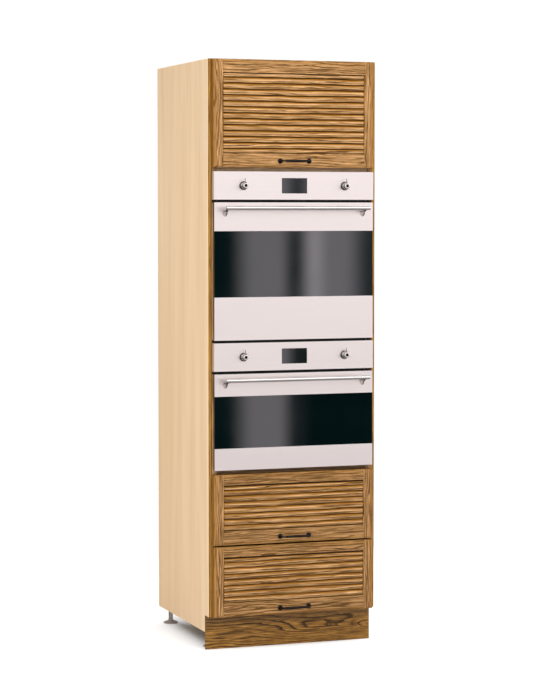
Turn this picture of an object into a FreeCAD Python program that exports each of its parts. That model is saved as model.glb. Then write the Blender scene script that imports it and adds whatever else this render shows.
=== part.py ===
import FreeCAD, Part
import Sketcher
import math
import os

# Tall oven housing unit: carcass on legs, lift-up louvred front, two built-in ovens and two
# deep louvred drawers. Frame: X to the right seen from the front, Y to the back, Z up.
# The origin is under the middle of the whole unit, on the floor. All lengths are millimetres.
# Depths below are given from the carcass front plane; front_y carries them into the frame.

os.makedirs("parts", exist_ok=True)
doc = FreeCAD.newDocument("OvenHousing")
sheet = doc.addObject("Spreadsheet::Sheet", "Dims")
sheet.Label = "Dims"

DIMS = [
    # overall
    ("unit_width", 626), ("unit_height", 2080), ("front_y", -265.5),
    ("cover_thick", 13), ("cover_depth", 604), ("cover_foot_z", 62.5),
    ("toe_height", 122.5), ("toe_depth", 45.5),
    # carcass
    ("board", 18), ("edging", 1), ("carcass_depth", 600), ("shelf_depth", 588),
    ("back_thick", 4), ("cup_shelf_z", 1687), ("divider_z", 1078), ("support_z", 624),
    ("divider_front", 12), ("divider_back", 560),
    ("rail_thick", 16), ("rail_low_z", 1980), ("wall_hole_x", 200), ("wall_hole_r", 4),
    # plinth and legs
    ("plinth_face", 42.5), ("plinth_thick", 16), ("plinth_lip", 2.7), ("plinth_top", 122.2),
    ("leg_x", 275), ("leg_front_y", 97), ("leg_back_y", 577), ("leg_r", 8), ("foot_r", 27),
    # louvred fronts
    ("front_half", 300), ("face_y", -22), ("back_y", -1.5), ("stile_inner", 265),
    ("bevel_width", 9.5), ("bevel_depth", 2), ("groove_pitch", 20.6), ("slat_face", -21.3),
    ("panel_back", -8),
    ("flap_z", 1703), ("flap_height", 376), ("flap_rail_low", 49), ("flap_groove_low", 66.3),
    ("flap_rail_high", 329), ("flap_grooves", 13),
    ("drawer_front_height", 249.5), ("drawer_rail_low", 49.8), ("drawer_groove_low", 70.9),
    ("drawer_rail_high", 212.1), ("drawer_grooves", 7),
    ("upper_drawer_z", 377.6), ("lower_drawer_z", 122.7),
    # bow handles
    ("handle_rise", 23.5), ("handle_half", 54), ("rosette_r", 8.5), ("rosette_thick", 2.5),
    ("bow_r", 4), ("bow_reach", 46), ("bow_bend", 12),
    # lift-up front
    ("pivot_y", -10), ("pivot_z", 2075), ("pivot_r", 2), ("arm_hole_r", 2.05), ("arm_boss_r", 4.5),
    ("arm_x", 240), ("arm_thick", 4), ("slot_half", 4),
    ("strut_x", 267), ("strut_cab_y", 260), ("strut_cab_z", 2032.5),
    ("strut_flap_y", 16), ("strut_flap_z", 2030), ("strut_closed", 244.0128),
    ("strut_tube_r", 9), ("strut_rod_r", 4), ("strut_bore_r", 4.05), ("strut_eye_half", 5),
    # drawers
    ("box_half", 269.3), ("box_board", 16), ("box_bottom", 8), ("box_length", 500),
    ("box_height", 180), ("upper_box_z", 395), ("lower_box_z", 150),
    ("runner_rise", 40), ("runner_length", 490),
    # ovens, common
    ("oven_face", -21), ("oven_band_back", -17), ("door_half", 298), ("panel_half", 299.5),
    ("panel_sheet", 1.5), ("frame_front", 9), ("frame_back", 11), ("casing_half", 278),
    ("casing_back", 560), ("sheet_metal", 1.5), ("cavity_half", 230), ("cavity_back", 450),
    ("door_pivot_y", -12), ("door_pivot_rise", 11.5), ("door_pin_r", 2.25),
    ("door_arm_hole_r", 2.3), ("door_arm_x", 255), ("inner_side", 262), ("inner_mid", 248),
    ("knob_x", 190), ("knob_shaft_r", 3), ("knob_hole_r", 3.05),
    ("display_half", 47.3), ("display_high", 53.4),
    ("bar_r", 7), ("bar_half", 270), ("bar_y", -66), ("bar_drop", 20.5), ("bracket_x", 258),
    ("fan_cover_r", 80), ("fan_r", 66), ("fan_shaft_r", 4), ("fan_hole_r", 4.05),
    ("ring_r", 90), ("element_r", 3.5),
    # upper oven
    ("up_door_z", 1098), ("up_door_top", 1582), ("up_band_low", 1249.5), ("up_band_high", 1480.9),
    ("up_panel_z", 1589.9), ("up_panel_top", 1689.2), ("up_casing_z", 1096.5), ("up_casing_top", 1684),
    ("up_cavity_z", 1150), ("up_cavity_top", 1500), ("up_ledge_z", 1300),
    # lower oven
    ("lo_door_z", 642.3), ("lo_door_top", 981.4), ("lo_band_low", 719.1), ("lo_band_high", 902.3),
    ("lo_panel_z", 989.7), ("lo_panel_top", 1090.2), ("lo_casing_z", 642.5), ("lo_casing_top", 1075),
    ("lo_cavity_z", 700), ("lo_cavity_top", 900), ("lo_ledge_z", 782),
]
D = {}
for row, (alias, value) in enumerate(DIMS, 1):
    sheet.set("A%d" % row, alias)
    sheet.set("B%d" % row, repr(value))
    sheet.setAlias("B%d" % row, alias)
    D[alias] = float(value)
doc.recompute()


class Q:
    """A length with its present value and the sheet expression it comes from."""

    def __init__(self, v, x):
        self.v = float(v)
        self.x = x

    def __add__(self, o):
        o = wrap(o)
        return Q(self.v + o.v, "(%s + %s)" % (self.x, o.x))

    def __sub__(self, o):
        o = wrap(o)
        return Q(self.v - o.v, "(%s - %s)" % (self.x, o.x))

    def __mul__(self, o):
        o = wrap(o)
        return Q(self.v * o.v, "(%s * %s)" % (self.x, o.x))

    def __truediv__(self, o):
        o = wrap(o)
        return Q(self.v / o.v, "(%s / %s)" % (self.x, o.x))

    def __neg__(self):
        return Q(-self.v, "(0 - %s)" % self.x)

    def __radd__(self, o):
        return wrap(o) + self

    def __rsub__(self, o):
        return wrap(o) - self

    def __rmul__(self, o):
        return wrap(o) * self


def wrap(o):
    if isinstance(o, Q):
        return o
    t = ("%.6f" % o).rstrip("0").rstrip(".")
    return Q(o, "(0 - %s)" % t[1:] if t.startswith("-") else t)


def d(alias):
    return Q(D[alias], "Dims." + alias)


def V(x, y, z=0.0):
    return FreeCAD.Vector(x, y, z)


FY = d("front_y")
TURN_X = FreeCAD.Rotation(V(0, 1, 0), 90)      # local Z onto +X
TURN_Y = FreeCAD.Rotation(V(1, 0, 0), -90)     # local Z onto +Y
NODES = []


def place(o, x, y, z, rot=None):
    x, y, z = wrap(x), FY + y, wrap(z)
    o.Placement = FreeCAD.Placement(V(x.v, y.v, z.v), rot or FreeCAD.Rotation())
    for c, q in (("x", x), ("y", y), ("z", z)):
        if "Dims." in q.x:
            o.setExpression("Placement.Base." + c, q.x)
    return o


def bind(o, prop, q):
    q = wrap(q)
    setattr(o, prop, q.v)
    if "Dims." in q.x:
        o.setExpression(prop, q.x)


def add(kind, label):
    o = doc.addObject(kind, label)
    o.Label = label
    return o


def node(o, label=None):
    """Marks an object as a finished piece; its Label names its file."""
    if label:
        o.Label = label
    NODES.append(o)
    return o


def box(label, x0, x1, y0, y1, z0, z1):
    o = add("Part::Box", label)
    for prop, a, b in (("Length", x0, x1), ("Width", y0, y1), ("Height", z0, z1)):
        bind(o, prop, wrap(b) - a)
    return place(o, x0, y0, z0)


def sbox(label, s, xa, xb, y0, y1, z0, z1):
    """A box between distances xa and xb from the middle plane, on the side s."""
    return box(label, -wrap(xb) if s < 0 else xa, -wrap(xa) if s < 0 else xb, y0, y1, z0, z1)


def cyl(label, axis, x, y, z, r, length, rot=None):
    o = add("Part::Cylinder", label)
    bind(o, "Radius", r)
    bind(o, "Height", length)
    return place(o, x, y, z, rot or {"X": TURN_X, "Y": TURN_Y, "Z": None}[axis])


def compound(label, parts):
    o = add("Part::Compound", label)
    o.Links = parts
    return o


def fuse(label, parts):
    o = add("Part::MultiFuse", label)
    o.Shapes = parts
    return o


def cut(label, base, tools):
    o = add("Part::Cut", label)
    o.Base = base
    o.Tool = tools[0] if len(tools) == 1 else fuse(label + "_tools", tools)
    return o


def mirrored(label, source):
    o = add("Part::Mirroring", label)
    o.Source = source
    o.Base = V(0, 0, 0)
    o.Normal = V(1, 0, 0)
    return o


# ---- sketched bodies ----
def new_body(label, x=0, y=0, z=0):
    return place(add("PartDesign::Body", label), x, y, z)


def sketch(body, name, role):
    s = body.newObject("Sketcher::SketchObject", name)
    plane = [f for f in body.Origin.OriginFeatures if f.Role == role][0]
    s.AttachmentSupport = [(plane, "")]
    s.MapMode = "FlatFace"
    return s


def pin(s, g, pos, u, v):
    for kind, axis, q in (("DistanceX", -2, wrap(u)), ("DistanceY", -1, wrap(v))):
        if abs(q.v) < 1e-9:
            s.addConstraint(Sketcher.Constraint("PointOnObject", g, pos, axis))
            continue
        k = s.addConstraint(Sketcher.Constraint(kind, -1, 1, g, pos, q.v))
        if "Dims." in q.x:
            name = "%s_%d_%d" % (kind[-1].lower(), g, pos)
            s.renameConstraint(k, name)
            s.setExpression("Constraints." + name, q.x)


def polygon(s, pts):
    g0, n = s.GeometryCount, len(pts)
    for i in range(n):
        a, b = pts[i], pts[(i + 1) % n]
        s.addGeometry(Part.LineSegment(V(wrap(a[0]).v, wrap(a[1]).v), V(wrap(b[0]).v, wrap(b[1]).v)), False)
    for i in range(n):
        s.addConstraint(Sketcher.Constraint("Coincident", g0 + i, 2, g0 + (i + 1) % n, 1))
    for i, (u, v) in enumerate(pts):
        pin(s, g0 + i, 1, u, v)


def circle(s, u, v, r):
    r = wrap(r)
    g = s.addGeometry(Part.Circle(V(wrap(u).v, wrap(v).v), V(0, 0, 1), r.v), False)
    k = s.addConstraint(Sketcher.Constraint("Radius", g, r.v))
    if "Dims." in r.x:
        s.renameConstraint(k, "r_%d" % g)
        s.setExpression("Constraints.r_%d" % g, r.x)
    if abs(wrap(u).v) < 1e-9 and abs(wrap(v).v) < 1e-9:
        s.addConstraint(Sketcher.Constraint("Coincident", g, 3, -1, 1))
    else:
        pin(s, g, 3, u, v)


def pad(body, sk, length, name, sym=True, rev=False):
    f = body.newObject("PartDesign::Pad", name)
    f.Profile = sk
    f.SideType = "Symmetric" if sym else "One side"
    f.Reversed = rev
    bind(f, "Length", length)
    return f


def pocket(body, sk, name):
    """A cut right through, both ways from the sketch."""
    f = body.newObject("PartDesign::Pocket", name)
    f.Profile = sk
    f.SideType = "Symmetric"
    f.Type = "ThroughAll"
    return f


def revolve(body, sk, name):
    f = body.newObject("PartDesign::Revolution", name)
    f.Profile = sk
    f.ReferenceAxis = (sk, ["V_Axis"])
    f.Angle = 360
    return f


def polar(body, feature, sk, count, name):
    f = body.newObject("PartDesign::PolarPattern", name)
    f.Originals = [feature]
    f.Axis = (sk, ["N_Axis"])
    f.Angle = 360
    f.Occurrences = count
    body.Tip = f
    return f


half = d("unit_width") / 2
cx = half - d("cover_thick")           # carcass outer side
ci = cx - d("board")                   # carcass inner side
top = d("unit_height")
toe = d("toe_height")
e = d("edging")
board = d("board")

# ================= cover panels, carcass =================
for side, s in (("left", -1), ("right", 1)):
    b = new_body("cover_panel_" + side, (half - d("cover_thick") / 2) * s)
    sk = sketch(b, "outline_" + side, "YZ_Plane")
    polygon(sk, [(e, top), (e, toe), (d("toe_depth"), toe), (d("toe_depth"), d("cover_foot_z")),
                 (d("cover_depth"), d("cover_foot_z")), (d("cover_depth"), top)])
    pad(b, sk, d("cover_thick"), "panel_" + side)
    node(b)
    node(sbox("carcass_side_" + side, s, ci, cx, e, d("carcass_depth"), toe, top))

node(box("carcass_top", -ci, ci, e, d("carcass_depth"), top - board, top))
node(box("carcass_bottom", -ci, ci, e, d("carcass_depth"), toe, toe + board))
node(box("upper_fixed_shelf", -ci, ci, e, d("shelf_depth"), d("cup_shelf_z"), d("cup_shelf_z") + board))
node(box("oven_divider_shelf", -ci, ci, d("divider_front"), d("divider_back"), d("divider_z"), d("divider_z") + board))
node(box("oven_support_shelf", -ci, ci, e, d("shelf_depth"), d("support_z"), d("support_z") + board))

strips = []
for side, s in (("l", -1), ("r", 1)):
    strips.append(sbox("cover_strip_" + side, s, cx, half, 0, e, toe, top))
    strips.append(sbox("side_strip_" + side, s, ci, cx, 0, e, toe, top))
for nm, z in (("top", top - board), ("bottom", toe), ("cup", d("cup_shelf_z")), ("support", d("support_z"))):
    strips.append(box("strip_" + nm, -ci, ci, 0, e, z, z + board))
node(compound("front_edge_strips", strips))

bk0, bk1 = d("shelf_depth") - d("back_thick"), d("shelf_depth")
node(compound("back_panels", [
    box("cupboard_back", -ci, ci, bk0, bk1, d("cup_shelf_z") + board, d("rail_low_z")),
    box("drawer_back", -ci, ci, bk0, bk1, toe + board, d("support_z"))]))

# rail across the top rear with two wall-fixing holes
b = new_body("wall_fixing_rail", 0, d("carcass_depth") - d("rail_thick") / 2)
sk = sketch(b, "rail_outline", "XZ_Plane")
zr0, zr1 = d("rail_low_z"), top - board
polygon(sk, [(-ci, zr0), (ci, zr0), (ci, zr1), (-ci, zr1)])
circle(sk, -d("wall_hole_x"), (zr0 + zr1) / 2, d("wall_hole_r"))
circle(sk, d("wall_hole_x"), (zr0 + zr1) / 2, d("wall_hole_r"))
pad(b, sk, d("rail_thick"), "rail")
node(b)

# ================= plinth and legs =================
b = new_body("plinth_board")
sk = sketch(b, "plinth_section", "XY_Plane")
pf, pb = d("plinth_face"), d("plinth_face") + d("plinth_thick")
pl, px = d("plinth_face") + d("plinth_lip"), cx - 0.3
polygon(sk, [(-half, pf), (half, pf), (half, pl), (px, pl), (px, pb), (-px, pb), (-px, pl), (-half, pl)])
pad(b, sk, d("plinth_top"), "plinth", sym=False)
node(b)

legs = []
for i, (s, y) in enumerate(((-1, "leg_front_y"), (1, "leg_front_y"), (-1, "leg_back_y"), (1, "leg_back_y"))):
    x, y = d("leg_x") * s, d(y)
    b = new_body("leg_foot_%d" % i, x, y)
    sk = sketch(b, "foot_profile_%d" % i, "XZ_Plane")
    r = d("foot_r")
    polygon(sk, [(0, 0), (r - 1.5, 0), (r, 1.5), (r, 4), (r - 3, 6), (13, 9), (11, 16), (0, 16)])
    revolve(b, sk, "foot_%d" % i)
    legs.append(b)
    legs.append(fuse("leg_column_%d" % i, [
        cyl("leg_tube_%d" % i, "Z", x, y, 16, d("leg_r"), toe - 20),
        cyl("leg_collar_%d" % i, "Z", x, y, toe - 16, d("leg_r") + 5, 12),
        box("leg_plate_%d" % i, x - 23, x + 23, y - 20, y + 20, toe - 4, toe)]))
node(compound("adjustable_legs", legs))


# ================= louvred fronts =================
def bow_handle(label, zc):
    """Bow handle: a bent round bar on two round rosettes."""
    face, reach, hh, bend = d("face_y"), d("bow_reach"), d("handle_half"), d("bow_bend")
    b = new_body(label + "_bow", 0, 0, zc)
    path = sketch(b, label + "_path", "XY_Plane")
    yb = -reach
    ym = yb + bend
    pts = [(-hh, face), (-hh, ym), (-hh + bend, yb), (hh - bend, yb), (hh, ym), (hh, face)]
    n = [V(wrap(u).v, wrap(v).v) for u, v in pts]
    r = bend.v
    path.addGeometry(Part.LineSegment(n[0], n[1]), False)
    path.addGeometry(Part.ArcOfCircle(Part.Circle(V(n[2].x, n[1].y), V(0, 0, 1), r), math.pi, 1.5 * math.pi), False)
    path.addGeometry(Part.LineSegment(n[2], n[3]), False)
    path.addGeometry(Part.ArcOfCircle(Part.Circle(V(n[3].x, n[4].y), V(0, 0, 1), r), 1.5 * math.pi, 2 * math.pi), False)
    path.addGeometry(Part.LineSegment(n[4], n[5]), False)
    for a, pa, c, pc in ((0, 2, 1, 1), (1, 2, 2, 1), (2, 2, 3, 1), (3, 2, 4, 1)):
        path.addConstraint(Sketcher.Constraint("Coincident", a, pa, c, pc))
    for g, pos, k in ((0, 1, 0), (0, 2, 1), (2, 1, 2), (2, 2, 3), (4, 1, 4), (4, 2, 5)):
        pin(path, g, pos, *pts[k])
    for g in (1, 3):
        k = path.addConstraint(Sketcher.Constraint("Radius", g, r))
        path.renameConstraint(k, "bend_%d" % g)
        path.setExpression("Constraints.bend_%d" % g, bend.x)
    sec = sketch(b, label + "_section", "XZ_Plane")
    circle(sec, -hh, 0, d("bow_r"))
    sec.AttachmentOffset = FreeCAD.Placement(V(0, 0, -face.v), FreeCAD.Rotation())
    sec.setExpression("AttachmentOffset.Base.z", (-face).x)
    pipe = b.newObject("PartDesign::AdditivePipe", label + "_bar")
    pipe.Profile = sec
    pipe.Spine = (path, ["Edge%d" % i for i in range(1, 6)])
    rt = d("rosette_thick")
    return fuse(label, [b] + [cyl("%s_rosette_%d" % (label, k), "Y", hh * k, face - rt, zc, d("rosette_r"), rt)
                              for k in (-1, 1)])


def louvre_panel(label, z0, low, groove0, high, count):
    """Panel with a row of overlapping slats, cut as a pattern of grooves."""
    face, gp = d("slat_face"), d("groove_pitch")
    b = new_body(label, 0, 0, z0)
    sk = sketch(b, label + "_blank", "YZ_Plane")
    polygon(sk, [(face, low), (d("panel_back"), low), (d("panel_back"), high), (face, high)])
    pad(b, sk, d("stile_inner") * 2, label + "_board")
    sk = sketch(b, label + "_ends", "YZ_Plane")
    polygon(sk, [(face - 2, high + 1), (-16.8, high + 1), (-16.8, high), (-19.8, high - 1), (face, high - 4),
                 (face - 2, high - 4)])
    polygon(sk, [(face - 2, low + 14), (face, low + 14), (-20.6, low + 7), (-19.3, low + 1.2), (-18.8, low - 1),
                 (face - 2, low - 1)])
    pocket(b, sk, label + "_end_cuts")
    sk = sketch(b, label + "_groove", "YZ_Plane")
    g = groove0
    polygon(sk, [(face - 2, g + 14), (face, g + 14), (-20.6, g + 7), (-19.3, g + 1.2), (-16.8, g), (-19.8, g - 1),
                 (face, g - 4), (face - 2, g - 4)])
    p = pocket(b, sk, label + "_first_groove")
    pat = b.newObject("PartDesign::LinearPattern", label + "_grooves")
    pat.Originals = [p]
    pat.Direction = (sk, ["V_Axis"])
    pat.Mode = "Extent"
    bind(pat, "Length", gp * (count - 1))
    pat.Occurrences = int(count.v)
    pat.setExpression("Occurrences", count.x)
    b.Tip = pat
    return b


def stiles(label, z0, height):
    out = []
    for s in (-1, 1):
        nm = "%s_stile_%s" % (label, "lr"[s > 0])
        b = new_body(nm, 0, 0, z0)
        sk = sketch(b, nm + "_section", "XY_Plane")
        fh, si = d("front_half"), d("stile_inner")
        polygon(sk, [(fh * s, d("face_y") + d("bevel_depth")), ((fh - d("bevel_width")) * s, d("face_y")),
                     (si * s, d("face_y")), (si * s, d("back_y")), (fh * s, d("back_y"))])
        pad(b, sk, height, nm + "_pad", sym=False)
        out.append(b)
    return out


def rails(label, z0, low, high, height):
    si = d("stile_inner")
    return [box(label + "_rail_low", -si, si, d("face_y"), d("back_y"), z0, z0 + low),
            box(label + "_rail_high", -si, si, d("face_y"), d("back_y"), z0 + high, z0 + height)]


# lift-up front
fz, fh = d("flap_z"), d("flap_height")
pv = (d("pivot_y"), d("pivot_z"))
rl = rails("flap", fz, d("flap_rail_low"), d("flap_rail_high"), fh)
slots = [sbox("flap_slot_" + "lr"[s > 0], s, d("arm_x") - d("slot_half"), d("arm_x") + d("slot_half"),
              pv[0] - 6, 2, pv[1] - 24.5, top + 5) for s in (-1, 1)]
node(compound("flap_frame", stiles("flap", fz, fh) + [rl[0], cut("flap_rail_high_slotted", rl[1], slots)]))
node(louvre_panel("flap_louvre_panel", fz, d("flap_rail_low"), d("flap_groove_low"), d("flap_rail_high"), d("flap_grooves")))
node(bow_handle("flap_handle", fz + d("handle_rise")))
pins = [cyl("flap_pin_" + "lr"[s > 0], "X", d("arm_x") * s - d("slot_half"), pv[0], pv[1], d("pivot_r"), d("slot_half") * 2)
        for s in (-1, 1)]
fy, fzz = d("strut_flap_y"), d("strut_flap_z")
sx = d("strut_x")
eye = d("strut_eye_half")
br = []
for s in (-1, 1):
    t = "lr"[s > 0]
    br.append(fuse("flap_strut_bracket_" + t, [
        sbox("fsb_base_" + t, s, sx + eye + 0.7, sx + eye + 8.5, d("back_y"), 1.5, fzz - 18, fzz + 18),
        sbox("fsb_web_" + t, s, sx + eye + 2.5, sx + eye + 5.5, d("back_y"), fy, fzz - 8, fzz + 8),
        cyl("fsb_round_" + t, "X", (sx + eye + 4) * s - 1.5, fy, fzz, 8, 3),
        cyl("fsb_stud_" + t, "X", (sx + eye + 1.5) * s - 1, fy, fzz, 4, 2)]))
node(compound("flap_fittings", pins + br))

# cabinet side of the lift-up front: gooseneck hinge arms and strut studs
cab = []
for s in (-1, 1):
    t = "lr"[s > 0]
    b = new_body("hinge_arm_" + t, d("arm_x") * s)
    sk = sketch(b, "arm_outline_" + t, "YZ_Plane")
    py, pz = pv
    zt = top - board - 3
    polygon(sk, [(py - 4.2, pz - 1.6), (py - 3, pz - 9), (py + 2, pz - 17), (py + 10, pz - 23), (py + 70, pz - 23),
                 (py + 76, zt), (py + 9.4, zt), (py + 7, pz - 11), (py + 4.2, pz - 1.6)])
    pad(b, sk, d("arm_thick"), "arm_plate_" + t)
    sk = sketch(b, "arm_boss_" + t, "YZ_Plane")
    circle(sk, py, pz, d("arm_boss_r"))
    pad(b, sk, d("arm_thick"), "boss_" + t)
    sk = sketch(b, "arm_eye_" + t, "YZ_Plane")
    circle(sk, py, pz, d("arm_hole_r"))
    pocket(b, sk, "eye_" + t)
    cab.append(fuse("flap_arm_" + t, [b, sbox("arm_flange_" + t, s, d("arm_x") - 15, d("arm_x") + 15, 6, 66, zt, zt + 3)]))
    cy, cz = d("strut_cab_y"), d("strut_cab_z")
    cab.append(fuse("strut_stud_" + t, [
        sbox("ss_plate_" + t, s, ci - 2, ci, cy - 15, cy + 15, cz - 15, cz + 15),
        cyl("ss_stud_" + t, "X", (sx - eye - 1 if s > 0 else -ci), cy, cz, 4, ci - (sx - eye - 1))]))
node(compound("flap_cabinet_brackets", cab))

# gas struts, drawn closed from the cabinet stud to the flap stud
L0 = d("strut_closed")
uy, uz = (fy - cy) / L0, (fzz - cz) / L0
AIM = FreeCAD.Rotation(V(0, 0, 1), V(0, uy.v, uz.v))


def along(label, s, start, r, length):
    return cyl(label, None, sx * s, cy + uy * start, cz + uz * start, r, length, rot=AIM)


tubes, rods = [], []
for s in (-1, 1):
    t = "lr"[s > 0]
    tubes.append(cut("strut_tube_" + t, fuse("strut_tube_solid_" + t, [
        along("st_body_" + t, s, 14, d("strut_tube_r"), 146),
        along("st_neck_" + t, s, 3, 4.5, 12),
        cyl("st_eye_" + t, "X", sx * s - eye, cy, cz, 8, eye * 2)]), [
        along("st_bore_" + t, s, 70, d("strut_bore_r"), 95),
        cyl("st_hole_" + t, "X", sx * s - eye - 1, cy, cz, 4.05, eye * 2 + 2)]))
    rods.append(cut("strut_rod_" + t, fuse("strut_rod_solid_" + t, [
        along("sr_body_" + t, s, 75, d("strut_rod_r"), 163),
        cyl("sr_eye_" + t, "X", sx * s - eye, fy, fzz, 7, eye * 2)]), [
        cyl("sr_hole_" + t, "X", sx * s - eye - 1, fy, fzz, 4.2, eye * 2 + 2)]))
node(compound("strut_cylinders", tubes))
node(compound("strut_rods", rods))


# ================= drawers =================
def channel(label, outline, zc, y0, length):
    """A pair of mirrored runner members; outline is in (distance from the carcass side, height)."""
    b = new_body(label + "_right", 0, wrap(y0) + wrap(length) / 2)
    sk = sketch(b, label + "_section", "XZ_Plane")
    polygon(sk, [(ci - u, zc + w) for u, w in outline])
    pad(b, sk, length, label + "_pad")
    return [b, mirrored(label + "_left", b)]


CAB = [(0, 22), (9.5, 22), (9.5, 20.5), (1.5, 20.5), (1.5, -20.5), (9.5, -20.5), (9.5, -22), (0, -22)]
MID = [(3, 19.5), (10.5, 19.5), (10.5, 18), (4.5, 18), (4.5, -18), (10.5, -18), (10.5, -19.5), (3, -19.5)]
BOXM = [(12.7, 16.5), (5.5, 16.5), (5.5, 15), (11.2, 15), (11.2, -15), (5.5, -15), (5.5, -16.5), (12.7, -16.5)]
cabinet_members = []
for nm, zf, zb in (("upper_drawer", d("upper_drawer_z"), d("upper_box_z")), ("lower_drawer", d("lower_drawer_z"), d("lower_box_z"))):
    node(compound(nm + "_frame", stiles(nm, zf, d("drawer_front_height"))
                  + rails(nm, zf, d("drawer_rail_low"), d("drawer_rail_high"), d("drawer_front_height"))))
    node(louvre_panel(nm + "_louvre_panel", zf, d("drawer_rail_low"), d("drawer_groove_low"), d("drawer_rail_high"), d("drawer_grooves")))
    node(bow_handle(nm + "_handle", zf + d("handle_rise")))
    bh, bb, y0 = d("box_half"), d("box_board"), d("back_y")
    y1, zt = y0 + d("box_length"), zb + d("box_height")
    bi = bh - bb
    node(compound(nm + "_box", [
        box(nm + "_box_left", -bh, -bi, y0, y1, zb, zt), box(nm + "_box_right", bi, bh, y0, y1, zb, zt),
        box(nm + "_box_front", -bi, bi, y0, y0 + 14, zb, zt), box(nm + "_box_back", -bi, bi, y1 - 14, y1, zb, zt),
        box(nm + "_box_bottom", -bi, bi, y0 + 14, y1 - 14, zb + 10, zb + 10 + d("box_bottom"))]))
    zc = zb + d("runner_rise")
    node(compound(nm + "_box_runners", channel(nm + "_box_runner", BOXM, zc, 1, d("runner_length"))))
    node(compound(nm + "_mid_runners", channel(nm + "_mid_runner", MID, zc, 2, d("runner_length"))))
    cabinet_members += channel(nm + "_cabinet_runner", CAB, zc, 3, d("runner_length"))
node(compound("drawer_runner_rails", cabinet_members))

# ================= ovens =================
sm = d("sheet_metal")
casings, frames, cavities, displays, elements, covers, motors, racks, seals, glands = ([] for _ in range(10))
seals.append(box("gap_strip", -ci, ci, 6, d("divider_front"), d("divider_z"), d("divider_z") + board))


def knob(label, x, z):
    """Turned knob on a spindle, with a small pointer on its skirt."""
    b = new_body(label + "_turned", x, 0, z)
    sk = sketch(b, label + "_profile", "XY_Plane")
    f = d("oven_face")
    r = d("knob_shaft_r")
    polygon(sk, [(0, f + 11), (r, f + 11), (r, f - 0.4), (15, f - 0.4), (15.5, f - 1.2), (15.5, f - 2.6), (14.2, f - 4),
                 (10.4, f - 6.5), (8.6, f - 10), (8.2, f - 14), (8.6, f - 18), (9.6, f - 21), (9.9, f - 24),
                 (9.2, f - 26.4), (8.4, f - 27), (3.3, f - 27), (3.3, f - 26.2), (0, f - 26.2)])
    revolve(b, sk, label + "_solid")
    return fuse(label, [b, box(label + "_pointer", x - 0.8, x + 0.8, f - 4.6, f - 2, z + 9.5, z + 15)])


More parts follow.
